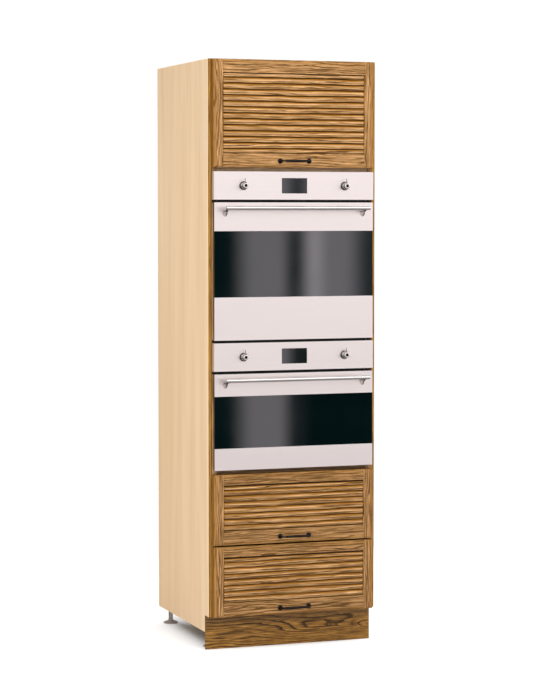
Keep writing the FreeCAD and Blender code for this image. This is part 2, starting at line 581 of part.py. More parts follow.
for nm, k in (("upper", "up"), ("lower", "lo")):
    g = lambda a, k=k: d(k + "_" + a)
    face, bb = d("oven_face"), d("oven_band_back")
    dh = d("door_half")
    db, dt = g("door_z"), g("door_top")
    # control panel: a folded sheet tray, open at the back, with a display window and two spindle holes
    ph, ps = d("panel_half"), d("panel_sheet")
    z0, z1 = g("panel_z"), g("panel_top")
    zm = (z0 + z1) / 2
    dhx, dhz = d("display_half"), d("display_high") / 2
    cp = cut(nm + "_oven_control_panel", box(nm + "_cp_outer", -ph, ph, face, d("back_y"), z0, z1), [
        box(nm + "_cp_inner", -ph + ps, ph - ps, face + ps, 5, z0 + ps, z1 - ps),
        box(nm + "_cp_window", -dhx, dhx, face - 1, face + 5, zm - dhz, zm + dhz),
        cyl(nm + "_cp_hole_l", "Y", -d("knob_x"), face - 1, zm, d("knob_hole_r"), 5),
        cyl(nm + "_cp_hole_r", "Y", d("knob_x"), face - 1, zm, d("knob_hole_r"), 5)])
    node(cp)
    displays.append(box(nm + "_display", -dhx + 0.2, dhx - 0.2, face + 0.2, face + 4, zm - dhz + 0.2, zm + dhz - 0.2))
    node(knob(nm + "_oven_left_knob", -d("knob_x"), zm))
    node(knob(nm + "_oven_right_knob", d("knob_x"), zm))
    # door
    bl, bt = g("band_low"), g("band_high")
    bands = []
    for t, za, zb in (("low", db, bl), ("high", bt, dt)):
        bands.append(cut("%s_band_%s" % (nm, t), box("%s_band_%s_outer" % (nm, t), -dh, dh, face, bb, za, zb),
                         [box("%s_band_%s_inner" % (nm, t), -dh + 1.2, dh - 1.2, face + 1.2, bb + 5, za + 1.2, zb - 1.2)]))
    node(compound(nm + "_door_steel_bands", bands))
    node(compound(nm + "_door_glass", [
        box(nm + "_glass_outer", -dh + 0.3, dh - 0.3, face + 0.3, bb, bl, bt),
        box(nm + "_glass_inner", -d("inner_side"), d("inner_side"), -6, -2, db + 60, dt - 60)]))
    py, pz = d("door_pivot_y"), db + d("door_pivot_rise")
    si, im = d("inner_side"), d("inner_mid")
    y0, y1 = bb, d("back_y")
    inner = [box(nm + "_bar_low", -im, im, y0, y1, db + 0.6, db + 60),
             box(nm + "_bar_high", -si, si, y0, y1, dt - 60, dt - 0.6)]
    for s in (-1, 1):
        t = "lr"[s > 0]
        b = new_body("%s_bar_%s" % (nm, t), (si + dh - 2) / 2 * s)
        sk = sketch(b, "%s_bar_outline_%s" % (nm, t), "YZ_Plane")
        polygon(sk, [(y0, db + 0.6), (py + 4.2, db + 0.6), (y1, pz - 5.1), (y1, dt - 0.6), (y0, dt - 0.6)])
        pad(b, sk, dh - 2 - si, "%s_bar_pad_%s" % (nm, t))
        inner.append(b)
        inner.append(cyl("%s_pin_%s" % (nm, t), "X", (im if s > 0 else -si), py, pz, d("door_pin_r"), si - im))
    node(compound(nm + "_door_inner_frame", inner))
    zc = dt - d("bar_drop")
    by, bx = d("bar_y"), d("bracket_x")
    bar = cyl(nm + "_bar", "X", -d("bar_half"), by, zc, d("bar_r"), d("bar_half") * 2)
    hs = [bar]
    for s in (-1, 1):
        t = "lr"[s > 0]
        b = new_body("%s_bracket_body_%s" % (nm, t), bx * s)
        sk = sketch(b, "%s_bracket_outline_%s" % (nm, t), "YZ_Plane")
        polygon(sk, [(face, zc - 27), (face, zc - 11), (face - 8, zc - 9), (by + 4, zc + 4), (by - 4, zc - 3), (by + 3, zc - 10)])
        pad(b, sk, 12, "%s_bracket_pad_%s" % (nm, t))
        hs.append(cut("%s_bracket_%s" % (nm, t), b, [cyl("%s_bracket_seat_%s" % (nm, t), "X", bx * s - 10, by, zc, d("bar_r"), 20)]))
    node(compound(nm + "_door_handle", hs))
    # casing, front frame with hinge arms, cavity, seal
    ch, c0, c1 = d("casing_half"), g("casing_z"), g("casing_top")
    fb, cb = d("frame_back"), d("casing_back")
    casings += [box(nm + "_case_low", -ch, ch, fb, cb, c0, c0 + sm), box(nm + "_case_high", -ch, ch, fb, cb, c1 - sm, c1),
                box(nm + "_case_l", -ch, -ch + sm, fb, cb, c0 + sm, c1 - sm), box(nm + "_case_r", ch - sm, ch, fb, cb, c0 + sm, c1 - sm),
                box(nm + "_case_back", -ch + sm, ch - sm, cb - sm, cb, c0 + sm, c1 - sm)]
    v, v0, v1 = d("cavity_half"), g("cavity_z"), g("cavity_top")
    vb = d("cavity_back")
    vm = (v0 + v1) / 2
    ff = d("frame_front")
    frames += [box(nm + "_ff_low", -ch, ch, ff, fb, c0 + 0.5, v0), box(nm + "_ff_high", -ch, ch, ff, fb, v1, c1),
               box(nm + "_ff_l", -ch, -v, ff, fb, v0, v1), box(nm + "_ff_r", v, ch, ff, fb, v0, v1)]
    for s in (-1, 1):
        t = "lr"[s > 0]
        b = new_body("%s_hinge_arm_%s" % (nm, t), d("door_arm_x") * s)
        sk = sketch(b, "%s_arm_outline_%s" % (nm, t), "YZ_Plane")
        polygon(sk, [(py, pz - 4.5), (ff, pz - 4.5), (ff, pz + 4.5), (py, pz + 4.5)])
        pad(b, sk, 4, "%s_arm_%s" % (nm, t))
        sk = sketch(b, "%s_arm_end_%s" % (nm, t), "YZ_Plane")
        circle(sk, py, pz, 4.5)
        pad(b, sk, 4, "%s_arm_round_%s" % (nm, t))
        sk = sketch(b, "%s_arm_eye_%s" % (nm, t), "YZ_Plane")
        circle(sk, py, pz, d("door_arm_hole_r"))
        pocket(b, sk, "%s_arm_hole_%s" % (nm, t))
        frames.append(b)
    cavities += [box(nm + "_cav_l", -v - sm, -v, fb, vb, v0 - sm, v1 + sm), box(nm + "_cav_r", v, v + sm, fb, vb, v0 - sm, v1 + sm),
                 box(nm + "_cav_low", -v, v, fb, vb, v0 - sm, v0), box(nm + "_cav_high", -v, v, fb, vb, v1, v1 + sm),
                 cut(nm + "_cav_back", box(nm + "_cav_back_plate", -v - sm, v + sm, vb, vb + sm, v0 - sm, v1 + sm),
                     [cyl(nm + "_cav_shaft_hole", "Y", 0, vb - 2, vm, d("fan_hole_r"), 6)])]
    zl = g("ledge_z")
    for s in (-1, 1):
        cavities.append(sbox("%s_ledge_%s" % (nm, "lr"[s > 0]), s, v - 9, v, 30, 430, zl - 3, zl))
    sw = 8
    seals += [box(nm + "_seal_low", -v - sw, v + sw, -0.8, ff, v0 - sw, v0), box(nm + "_seal_high", -v - sw, v + sw, -0.8, ff, v1, v1 + sw),
              box(nm + "_seal_l", -v - sw, -v, -0.8, ff, v0, v1), box(nm + "_seal_r", v, v + sw, -0.8, ff, v0, v1)]
    # fan behind a pierced cover, ring element round it, grill element under the cavity roof
    b = new_body(nm + "_oven_fan", 0, 438, vm)
    sk = sketch(b, nm + "_fan_hub", "XZ_Plane")
    circle(sk, 0, 0, 15)
    pad(b, sk, 14, nm + "_hub")
    sk = sketch(b, nm + "_fan_blade", "XZ_Plane")
    polygon(sk, [(13, -1), (d("fan_r"), 5), (d("fan_r") - 1, 8), (13, 2)])
    bl1 = pad(b, sk, 12, nm + "_blade")
    polar(b, bl1, sk, 8, nm + "_blades")
    sk = sketch(b, nm + "_fan_shaft", "XZ_Plane")
    circle(sk, 0, 0, d("fan_shaft_r"))
    pad(b, sk, 30, nm + "_shaft", sym=False, rev=True)
    node(b)
    b = new_body(nm + "_fan_cover_body", 0, 0, vm)
    sk = sketch(b, nm + "_cover_profile", "XY_Plane")
    cr = d("fan_cover_r")
    polygon(sk, [(0, 424), (cr - 3, 424), (cr, 427), (cr, vb), (cr - 1.5, vb), (cr - 1.5, 428), (cr - 3.5, 425.5), (0, 425.5)])
    revolve(b, sk, nm + "_cover_dish")
    sk = sketch(b, nm + "_cover_inner_holes", "XZ_Plane")
    circle(sk, 26, 0, 5)
    polar(b, pocket(b, sk, nm + "_hole_a"), sk, 8, nm + "_holes_a")
    sk = sketch(b, nm + "_cover_outer_holes", "XZ_Plane")
    circle(sk, 52, 0, 5)
    polar(b, pocket(b, sk, nm + "_hole_b"), sk, 16, nm + "_holes_b")
    covers.append(b)
    motors.append(cut(nm + "_motor", fuse(nm + "_motor_solid", [
        cyl(nm + "_motor_can", "Y", 0, vb + sm, vm, 34, 38), cyl(nm + "_motor_cap", "Y", 0, vb + sm + 38, vm, 14, 8)]),
        [cyl(nm + "_motor_bore", "Y", 0, vb, vm, d("fan_hole_r"), 22)]))
    t = add("Part::Torus", nm + "_ring_element")
    bind(t, "Radius1", d("ring_r"))
    bind(t, "Radius2", d("element_r"))
    elements.append(place(t, 0, 438, vm, TURN_Y))
    ze = v1 - 12
    er = d("element_r")
    rodsy = [cyl("%s_grill_rod_%d" % (nm, i), "Y", x, 60, ze, er, 320) for i, x in enumerate((-150, -90, -30, 30, 90, 150))]
    rodsx = [cyl("%s_grill_turn_%d" % (nm, i), "X", x, y, ze, er, 60) for i, (x, y) in
             enumerate(((-150, 60), (-90, 380), (-30, 60), (30, 380), (90, 60)))]
    tails = [cyl("%s_grill_tail_%d" % (nm, i), "Y", x, 375, ze, er, 75) for i, x in enumerate((-150, 150))]
    elements.append(fuse(nm + "_grill_element", rodsy + rodsx + tails))
    zk = zl + 3
    rk = [cyl("%s_rack_side_%s" % (nm, "lr"[s > 0]), "Y", (v - 5) * s, 36, zk, 3, 380) for s in (-1, 1)]
    rk += [cyl("%s_rack_end_%d" % (nm, y), "X", -v + 5, y, zk, 3, v * 2 - 10) for y in (40, 412)]
    rk += [cyl("%s_rack_wire_%d" % (nm, i), "Y", -198 + 36 * i, 40, zk, 1.5, 372) for i in range(12)]
    racks.append(fuse(nm + "_rack", rk))
    b = new_body(nm + "_gland_body", -180, cb, c0 + 60)
    sk = sketch(b, nm + "_gland_profile", "XY_Plane")
    polygon(sk, [(5, 0), (13, 0), (13, 5), (10, 6), (10, 14), (8, 20), (5, 20)])
    revolve(b, sk, nm + "_gland")
    glands.append(b)

node(compound("oven_casings", casings))
node(compound("oven_front_frames", frames))
node(compound("oven_cavities", cavities))
node(compound("oven_display_windows", displays))
node(compound("oven_heating_elements", elements))
node(compound("oven_fan_covers", covers))
node(compound("oven_fan_motors", motors))
node(compound("oven_racks", racks))
node(compound("oven_door_seals", seals))
node(compound("oven_cable_glands", glands))

# ================= check and write =================
doc.recompute()
bad = [o.Label for o in doc.Objects if "Invalid" in o.State or "Error" in o.State]
if bad:
    raise RuntimeError("objects failed: %s" % bad)
for o in doc.Objects:
    if o.TypeId == "PartDesign::Pocket":
        base = o.BaseFeature
        if base is not None and not o.Shape.Volume < base.Shape.Volume - 0.01:
            raise RuntimeError("cut removed nothing: " + o.Label)
    if o.TypeId == "PartDesign::Pad" and o.BaseFeature is not None and not o.Shape.Volume > o.BaseFeature.Shape.Volume:
        raise RuntimeError("pad added nothing: " + o.Label)
if len({o.Label for o in NODES}) != len(NODES) or len(NODES) > 60:
    raise RuntimeError("node labels")
for o in NODES:
    shape = o.Shape
    if shape.isNull() or not shape.isValid() or not shape.Solids:
        raise RuntimeError("bad shape: " + o.Label)
for old in os.listdir("parts"):
    if old.endswith(".step") and old[:-5] not in {o.Label for o in NODES}:
        os.remove(os.path.join("parts", old))
box_all = FreeCAD.BoundBox()
for o in NODES:
    o.Shape.exportStep(os.path.join("parts", o.Label + ".step"))
    box_all.add(o.Shape.BoundBox)
    print("%-28s solids %3d  volume %12.1f" % (o.Label, len(o.Shape.Solids), o.Shape.Volume))
print("nodes", len(NODES))
print("box", box_all)
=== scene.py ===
import bpy
import math
import random
import numpy as np
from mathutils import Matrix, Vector


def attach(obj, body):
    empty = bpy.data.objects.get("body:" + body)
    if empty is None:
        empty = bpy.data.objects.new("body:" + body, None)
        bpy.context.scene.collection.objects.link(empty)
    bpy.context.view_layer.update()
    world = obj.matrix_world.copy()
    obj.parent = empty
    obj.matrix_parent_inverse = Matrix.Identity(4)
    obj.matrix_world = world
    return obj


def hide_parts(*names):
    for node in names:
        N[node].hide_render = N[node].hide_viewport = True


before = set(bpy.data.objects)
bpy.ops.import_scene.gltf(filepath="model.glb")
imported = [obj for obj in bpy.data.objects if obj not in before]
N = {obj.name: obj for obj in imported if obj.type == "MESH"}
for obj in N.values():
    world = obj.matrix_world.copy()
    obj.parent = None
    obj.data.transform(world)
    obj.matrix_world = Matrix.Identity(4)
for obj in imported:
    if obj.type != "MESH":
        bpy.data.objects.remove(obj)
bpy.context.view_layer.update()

Y0 = -0.2655          # carcass front plane in the row frame
SC = bpy.context.scene
SC.view_settings.view_transform = "Standard"
SC.view_settings.look = "None"
SC.view_settings.exposure = 0.0
SC.view_settings.gamma = 1.0


def mm(*v):
    """Carcass-frame millimetres to row-frame metres."""
    return (v[0] * 0.001, v[1] * 0.001 + Y0, v[2] * 0.001)


# ------------------------------------------------------------------ camera
cam_data = bpy.data.cameras.new("camera")
cam = bpy.data.objects.new("camera", cam_data)
SC.collection.objects.link(cam)
cam.location = (-2.7209, -7.6008, 1.5488)
cam.rotation_euler = (math.radians(90 - 3.372), math.radians(0.0085), math.radians(-19.680))
cam_data.lens = 116.43
cam_data.sensor_width = 36.0
cam_data.sensor_fit = "AUTO"
cam_data.clip_start = 0.05
cam_data.clip_end = 100
cam_data.dof.use_dof = False
SC.camera = cam


# ------------------------------------------------------------------ shader helpers
class Tree:
    """A small writer for node trees: every method adds a node and returns its output socket."""

    def __init__(self, name, world=None):
        if world:
            world.use_nodes = True
            self.t = world.node_tree
            self.t.nodes.clear()
            return
        self.mat = bpy.data.materials.new(name)
        self.mat.use_nodes = True
        self.t = self.mat.node_tree
        self.bsdf = self.t.nodes["Principled BSDF"]

    def node(self, kind, **props):
        n = self.t.nodes.new(kind)
        for k, v in props.items():
            setattr(n, k, v)
        return n

    def put(self, node, key, value):
        if isinstance(value, bpy.types.NodeSocket):
            self.t.links.new(value, node.inputs[key])
        elif value is not None:
            node.inputs[key].default_value = value

    def attr(self, name, out="Vector"):
        return self.node("ShaderNodeAttribute", attribute_name=name).outputs[out]

    def objc(self):
        return self.node("ShaderNodeTexCoord").outputs["Object"]

    def scaled(self, vec, scale, loc=(0, 0, 0), rot=(0, 0, 0)):
        n = self.node("ShaderNodeMapping")
        self.put(n, "Vector", vec)
        n.inputs["Scale"].default_value = scale
        n.inputs["Location"].default_value = loc
        n.inputs["Rotation"].default_value = rot
        return n.outputs[0]

    def noise(self, vec, scale=1.0, detail=3.0, rough=0.5, dist=0.0, out=0):
        n = self.node("ShaderNodeTexNoise")
        self.put(n, "Vector", vec)
        self.put(n, "Scale", scale)
        self.put(n, "Detail", detail)
        self.put(n, "Roughness", rough)
        self.put(n, "Distortion", dist)
        return n.outputs[out]

    def voronoi(self, vec, scale, out="Distance", rand=1.0):
        n = self.node("ShaderNodeTexVoronoi")
        self.put(n, "Vector", vec)
        self.put(n, "Scale", scale)
        self.put(n, "Randomness", rand)
        return n.outputs[out]

    def math(self, op, a, b=None, c=None, clamp=False):
        n = self.node("ShaderNodeMath", operation=op, use_clamp=clamp)
        self.put(n, 0, a)
        self.put(n, 1, b)
        self.put(n, 2, c)
        return n.outputs[0]

    def vmath(self, op, a, b=None):
        n = self.node("ShaderNodeVectorMath", operation=op)
        self.put(n, 0, a)
        self.put(n, 1, b)
        return n.outputs[0]

    def split(self, vec):
        n = self.node("ShaderNodeSeparateXYZ")
        self.put(n, 0, vec)
        return n.outputs

    def join(self, x, y, z):
        n = self.node("ShaderNodeCombineXYZ")
        self.put(n, 0, x)
        self.put(n, 1, y)
        self.put(n, 2, z)
        return n.outputs[0]

    def ramp(self, fac, stops, interp="LINEAR"):
        n = self.node("ShaderNodeValToRGB")
        cr = n.color_ramp
        cr.interpolation = interp
        while len(cr.elements) < len(stops):
            cr.elements.new(0.5)
        for e, (p, c) in zip(cr.elements, stops):
            e.position = p
            e.color = c if len(c) == 4 else (*c, 1)
        self.put(n, "Fac", fac)
        return n.outputs["Color"]

    def span(self, v, lo, hi, a=0.0, b=1.0, smooth=False):
        n = self.node("ShaderNodeMapRange", interpolation_type="SMOOTHSTEP" if smooth else "LINEAR")
        self.put(n, "Value", v)
        for k, x in (("From Min", lo), ("From Max", hi), ("To Min", a), ("To Max", b)):
            n.inputs[k].default_value = x
        return n.outputs[0]

    def mix(self, fac, a, b, kind="MIX"):
        n = self.node("ShaderNodeMix", data_type="RGBA", blend_type=kind)
        self.put(n, 0, fac)
        self.put(n, 6, a)
        self.put(n, 7, b)
        return n.outputs[2]

    def bump(self, height, strength=0.3, dist=0.001, normal=None):
        n = self.node("ShaderNodeBump")
        n.inputs["Strength"].default_value = strength
        n.inputs["Distance"].default_value = dist
        self.put(n, "Height", height)
        self.put(n, "Normal", normal)
        return n.outputs[0]

    def set(self, **kw):
        for k, v in kw.items():
            self.put(self.bsdf, k.replace("_", " "), v)
        return self.mat


def srgb(r, g, b):
    """0-255 display colour to linear."""
    f = lambda c: (c / 255 / 12.92) if c / 255 <= 0.04045 else ((c / 255 + 0.055) / 1.055) ** 2.4
    return (f(r), f(g), f(b), 1.0)


# ------------------------------------------------------------------ wood
def oak(name, light, mid, dark, pore, shade_amber, painted_shade, figure=1.0, contrast=1.0, rough=0.5, wave=1.0, along=1.0):
    """Open-grained oak. The grain attribute is (along, across, depth) in metres, moved by a board's own offset.
    A third attribute is 0 on a face and 1 at the bottom of a groove: painted shade, amber where a groove side lies in
    shadow and near black at its bottom."""
    t = Tree(name)
    g = t.attr("grain")
    tone_v = t.attr("tone", "Fac")
    painted_shade_v = t.attr("painted_shade", "Fac")
    xyz = t.split(g)
    # growth rings: contour lines of a long, slowly bending field, broken up here and there
    wander = t.noise(t.scaled(g, (2.2 * along, 13.0, 13.0)), 1.0, 2.0, 0.5)
    ripple = t.noise(t.scaled(g, (13.0 * along, 60.0, 50.0)), 1.0, 2.0, 0.55)
    field = t.math("MULTIPLY_ADD", xyz[1], 104.0 * figure, t.math("MULTIPLY", wander, 9.0 * wave))
    field = t.math("ADD", field, t.math("MULTIPLY_ADD", ripple, 1.3, t.math("MULTIPLY", xyz[2], 40.0)))
    saw = t.math("FRACT", field)
    ring = t.math("MULTIPLY", t.span(saw, 0.50, 0.84, 0.0, 1.0, True), t.span(saw, 0.91, 1.0, 1.0, 0.0, True))
    part = t.noise(t.scaled(g, (8.0 * along, 75.0, 40.0), (3.0, 1.0, 0.0)), 1.0, 2.0, 0.5)
    ring = t.math("MULTIPLY", ring, t.span(part, 0.40, 0.60, 0.05, 1.0))
    # medium streaks
    st = t.noise(t.join(t.math("MULTIPLY", xyz[0], 11.0 * along), t.math("MULTIPLY", xyz[1], 285.0), t.math("MULTIPLY", xyz[2], 190.0)), 1.0, 3.0, 0.66)
    lines = t.noise(t.join(t.math("MULTIPLY", xyz[0], 12.0 * along), t.math("MULTIPLY", xyz[1], 195.0), t.math("MULTIPLY", xyz[2], 90.0)), 1.0, 2.0, 0.6)
    # fine pores, long and thin
    po = t.noise(t.join(t.math("MULTIPLY", xyz[0], 45.0), t.math("MULTIPLY", xyz[1], 1100.0), t.math("MULTIPLY", xyz[2], 600.0)), 1.0, 2.0, 0.7)
    blot = t.noise(t.scaled(g, (4.0, 16.0, 16.0)), 1.0, 2.0, 0.5)
    v = t.math("MULTIPLY_ADD", ring, -0.88 * contrast, 0.655)
    v = t.math("MULTIPLY_ADD", t.math("SUBTRACT", lines, 0.5), 0.95 * contrast, v)
    v = t.math("MULTIPLY_ADD", t.math("SUBTRACT", st, 0.5), 2.3 * contrast, v)
    v = t.math("MULTIPLY_ADD", t.math("SUBTRACT", blot, 0.5), 0.30 * contrast, v)
    v = t.math("ADD", v, t.math("MULTIPLY", t.math("SUBTRACT", tone_v, 0.5), 0.6))
    col = t.ramp(v, [(0.08, dark), (0.48, mid), (0.80, light), (1.10, tuple(min(1, c * 1.45) for c in light[:3]) + (1,))])
    pmask = t.span(po, 0.57, 0.72, 0.0, 1.0)
    col = t.mix(t.math("MULTIPLY", pmask, 0.45), col, pore)
    # painted shade: grooves, gaps and sides in shadow turn amber, then near black
    uneven = t.math("MULTIPLY_ADD", t.math("SUBTRACT", st, 0.5), 0.35, painted_shade_v)
    col = t.mix(t.span(uneven, 0.06, 0.46, 0.0, 0.94, True), col, shade_amber)
    col = t.mix(t.span(uneven, 0.58, 0.92, 0.0, 0.97, True), col, painted_shade)
    h = t.math("ADD", t.math("MULTIPLY", pmask, -1.0), t.math("MULTIPLY", st, 0.7))
    r = t.math("ADD", t.math("MULTIPLY", pmask, 0.22), t.span(ring, 0.0, 1.0, rough - 0.05, rough + 0.07))
    return t.set(Base_Color=col, Roughness=r, Normal=t.bump(h, 0.4, 0.0008), Specular_IOR_Level=0.20)


def plank_oak(name):
    """Plinth oak: bold cathedral figure with dark ring lines and one swirl."""
    t = Tree(name)
    g = t.attr("grain")
    xyz = t.split(g)
    x, z = xyz[0], xyz[1]
    # a soft knot: the rings bend round it
    dx = t.math("MULTIPLY", t.math("SUBTRACT", x, 0.190), 13.0)
    dz = t.math("MULTIPLY", t.math("SUBTRACT", z, 0.045), 30.0)
    knot = t.math("EXPONENT", t.math("MULTIPLY", t.math("ADD", t.math("MULTIPLY", dx, dx), t.math("MULTIPLY", dz, dz)), -0.75))
    dx2 = t.math("MULTIPLY", t.math("ADD", x, 0.045), 5.5)
    dz2 = t.math("MULTIPLY", t.math("SUBTRACT", z, 0.052), 34.0)
    lens = t.math("EXPONENT", t.math("MULTIPLY", t.math("ADD", t.math("MULTIPLY", dx2, dx2), t.math("MULTIPLY", dz2, dz2)), -0.7))
    n1 = t.noise(t.join(t.math("MULTIPLY", x, 2.2), t.math("MULTIPLY", z, 11.0), 6.4), 1.0, 2.0, 0.5)
    n2 = t.noise(t.join(t.math("MULTIPLY", x, 17.0), t.math("MULTIPLY", z, 60.0), 5.1), 1.0, 3.0, 0.6)
    field = t.math("ADD", t.math("MULTIPLY", n1, 8.0), t.math("MULTIPLY", z, 84.0))
    field = t.math("ADD", field, t.math("MULTIPLY", knot, 6.4))
    field = t.math("ADD", field, t.math("MULTIPLY", lens, 3.4))
    field = t.math("ADD", field, t.math("MULTIPLY", n2, 0.75))
    saw = t.math("FRACT", field)
    which = t.noise(t.join(t.math("FLOOR", field), 0.3, 0.0), 1.7, 1.0, 0.5)
    line = t.math("MULTIPLY", t.math("MULTIPLY", t.span(saw, 0.52, 0.90, 0.0, 1.0, True), t.span(saw, 0.93, 1.0, 1.0, 0.0, True)), t.span(which, 0.34, 0.52, 0.45, 1.0))
    broken = t.noise(t.join(t.math("MULTIPLY", x, 9.0), t.math("MULTIPLY", z, 150.0), 9.0), 1.0, 3.0, 0.62)
    line = t.math("MULTIPLY", line, t.span(broken, 0.25, 0.44, 0.45, 1.0), clamp=True)
    fine = t.noise(t.join(t.math("MULTIPLY", x, 12.0), t.math("MULTIPLY", z, 260.0), 0.0), 1.0, 2.0, 0.62)
    po = t.noise(t.join(t.math("MULTIPLY", x, 50.0), t.math("MULTIPLY", z, 1200.0), 0.0), 1.0, 2.0, 0.7)
    base = t.ramp(t.math("ADD", t.math("MULTIPLY", fine, 0.66), t.math("MULTIPLY", n2, 0.34)),
                  [(0.35, srgb(92, 59, 19)), (0.5, srgb(137, 95, 39)), (0.65, srgb(180, 131, 60))])
    # the upper edge is greyer and streaked
    high = t.span(z, 0.066, 0.116, 0.0, 0.60, True)
    base = t.mix(high, base, srgb(98, 74, 44))
    col = t.mix(t.math("MULTIPLY", line, 0.97), base, srgb(38, 23, 10))
    dark = t.math("MULTIPLY", t.span(broken, 0.50, 0.64, 0.0, 0.80), t.span(z, 0.060, 0.112, 0.12, 1.0))
    col = t.mix(dark, col, srgb(58, 41, 27))
    pmask = t.span(po, 0.58, 0.74, 0.0, 1.0)
    col = t.mix(t.math("MULTIPLY", pmask, 0.45), col, srgb(60, 38, 18))
    h = t.math("ADD", t.math("MULTIPLY", pmask, -1.0), t.math("MULTIPLY", line, -0.8))
    return t.set(Base_Color=col, Roughness=t.span(line, 0, 1, 0.5, 0.62), Normal=t.bump(h, 0.35, 0.0008), Specular_IOR_Level=0.20)


def birch(name, base, light, streak, vertical=True, bump=0.12, side=False):
    """Pale veneer: long faint streaks along the board, on object coordinates."""
    t = Tree(name)
    c = t.objc()
    s = t.split(c)
    along, across = (s[2], t.math("ADD", s[1], s[0])) if vertical else (s[0], t.math("ADD", s[1], s[2]))
    slow = t.noise(t.join(t.math("MULTIPLY", along, 0.9), t.math("MULTIPLY", across, 13.0), 0.0), 1.0, 2.5, 0.55)
    mid = t.noise(t.join(t.math("MULTIPLY", along, 2.2), t.math("MULTIPLY", across, 80.0), 3.0), 1.0, 3.0, 0.6)
    fine = t.noise(t.join(t.math("MULTIPLY", along, 22.0), t.math("MULTIPLY", across, 800.0), 7.0), 1.0, 2.0, 0.6)
    v = t.math("ADD", t.math("MULTIPLY", slow, 0.5), t.math("ADD", t.math("MULTIPLY", mid, 0.35), t.math("MULTIPLY", fine, 0.15)))
    col = t.ramp(v, [(0.37, streak), (0.50, base), (0.62, light)])
    fleck = t.span(t.noise(t.join(t.math("MULTIPLY", along, 60.0), t.math("MULTIPLY", across, 420.0), 1.0), 1.0, 1.0, 0.5), 0.70, 0.80, 0.0, 0.30)
    col = t.mix(fleck, col, streak)
    if side:
        # painted shade: darker and warmer towards the rear and the foot; painted highlight: a paler line along the
        # front edge
        rear = t.math("MULTIPLY", t.span(s[1], -0.20, 0.34, 0.0, 1.0), t.span(s[2], 0.1, 2.0, 0.50, 0.20))
        col = t.mix(rear, col, tuple(a * b for a, b in zip(streak[:3], (0.93, 0.89, 0.80))) + (1,))
        col = t.mix(t.span(s[2], 0.1, 1.6, 0.27, 0.0), col, tuple(a * b for a, b in zip(base[:3], (0.45, 0.42, 0.38))) + (1,))
        col = t.mix(t.span(s[1], -0.2540, -0.2505, 0.55, 0.0, True), col, tuple(min(1, a * b) for a, b in zip(light[:3], (1.12, 1.14, 1.10))) + (1,))
    return t.set(Base_Color=col, Roughness=t.span(mid, 0.3, 0.7, 0.42, 0.52), Normal=t.bump(fine, bump, 0.0003), Specular_IOR_Level=0.35)


# ------------------------------------------------------------------ metals, glass, plastics
def brushed(name, colour, rough=0.32, axis="X", metallic=1.0, amount=0.05, bump=0.05, returns=None, flank=None):
    """Steel with fine brush lines along one object axis, faint smears and a slight tone drift."""
    t = Tree(name)
    s = t.split(t.objc())
    i = "XYZ".index(axis)
    k = [900.0, 900.0, 900.0]
    k[i] = 6.0
    vec = t.join(t.math("MULTIPLY", s[0], k[0]), t.math("MULTIPLY", s[1], k[1]), t.math("MULTIPLY", s[2], k[2]))
    lines = t.noise(vec, 1.0, 3.0, 0.7)
    k2 = [4.0, 4.0, 4.0]
    k2[i] = 1.5
    smear = t.noise(t.scaled(t.objc(), k2), 1.0, 3.0, 0.55)
    lo = tuple(c * (1 - amount * 2.2) for c in colour[:3]) + (1,)
    hi = tuple(min(1, c * (1 + amount * 0.6)) for c in colour[:3]) + (1,)
    v = t.math("ADD", t.math("MULTIPLY", lines, 0.55), t.math("MULTIPLY", smear, 0.45))
    col = t.ramp(v, [(0.3, lo), (0.55, colour), (0.8, hi)])
    r = t.math("ADD", t.span(lines, 0.3, 0.7, rough - 0.04, rough + 0.05), t.span(smear, 0.35, 0.65, -0.02, 0.03))
    if returns:
        # painted shade: folded returns (faces turned from the front) are near black
        normal = t.split(t.node("ShaderNodeTexCoord").outputs["Normal"])
        back = t.span(t.math("ABSOLUTE", normal[1]), 0.30, 0.70, 1.0, 0.0, True)
        for z in (1.5820, 1.5899, 1.0902, 1.0980, 0.9814, 0.9897):
            # painted shade: so is the fold along each gap between door and control panel
            off = t.math("ABSOLUTE", t.math("SUBTRACT", s[2], z))
            back = t.math("MAXIMUM", back, t.span(off, 0.00085, 0.00105, 1.0, 0.0, True))
        col = t.mix(back, col, returns)
        if flank:
            # painted light: the sideways flanks get a lighter warm colour
            side = t.span(t.math("ABSOLUTE", normal[0]), 0.5, 0.8, 0.0, 1.0, True)
            col = t.mix(side, col, flank)
        r = t.math("ADD", r, t.math("MULTIPLY", back, 0.2))
        metallic = t.math("SUBTRACT", 1.0, back)
    return t.set(Base_Color=col, Metallic=metallic, Roughness=r, Normal=t.bump(lines, bump, 0.0002), Anisotropic=0.35)


def plain_metal(name, colour, rough, metallic=1.0, scale=45.0, amount=0.06, bump=0.04, worn=None, spec=0.5):
    """Metal or enamel with fine mottling, tiny scratches and, if given, worn brighter spots."""
    t = Tree(name)
    c = t.objc()
    n = t.noise(c, scale, 4.0, 0.6)
    n2 = t.noise(c, scale * 14, 2.0, 0.6)
    lo = tuple(x * (1 - amount * 2) for x in colour[:3]) + (1,)
    hi = tuple(min(1, x * (1 + amount) + 0.002) for x in colour[:3]) + (1,)
    col = t.ramp(n, [(0.3, lo), (0.5, colour), (0.75, hi)])
    if worn:
        col = t.mix(t.span(n2, 0.62, 0.75, 0.0, 0.5), col, worn)
    r = t.math("ADD", t.span(n, 0.3, 0.7, rough - 0.04, rough + 0.05), t.span(n2, 0.3, 0.7, -0.015, 0.02))
    return t.set(Base_Color=col, Metallic=metallic, Roughness=r, Normal=t.bump(n2, bump, 0.0002), Specular_IOR_Level=spec)


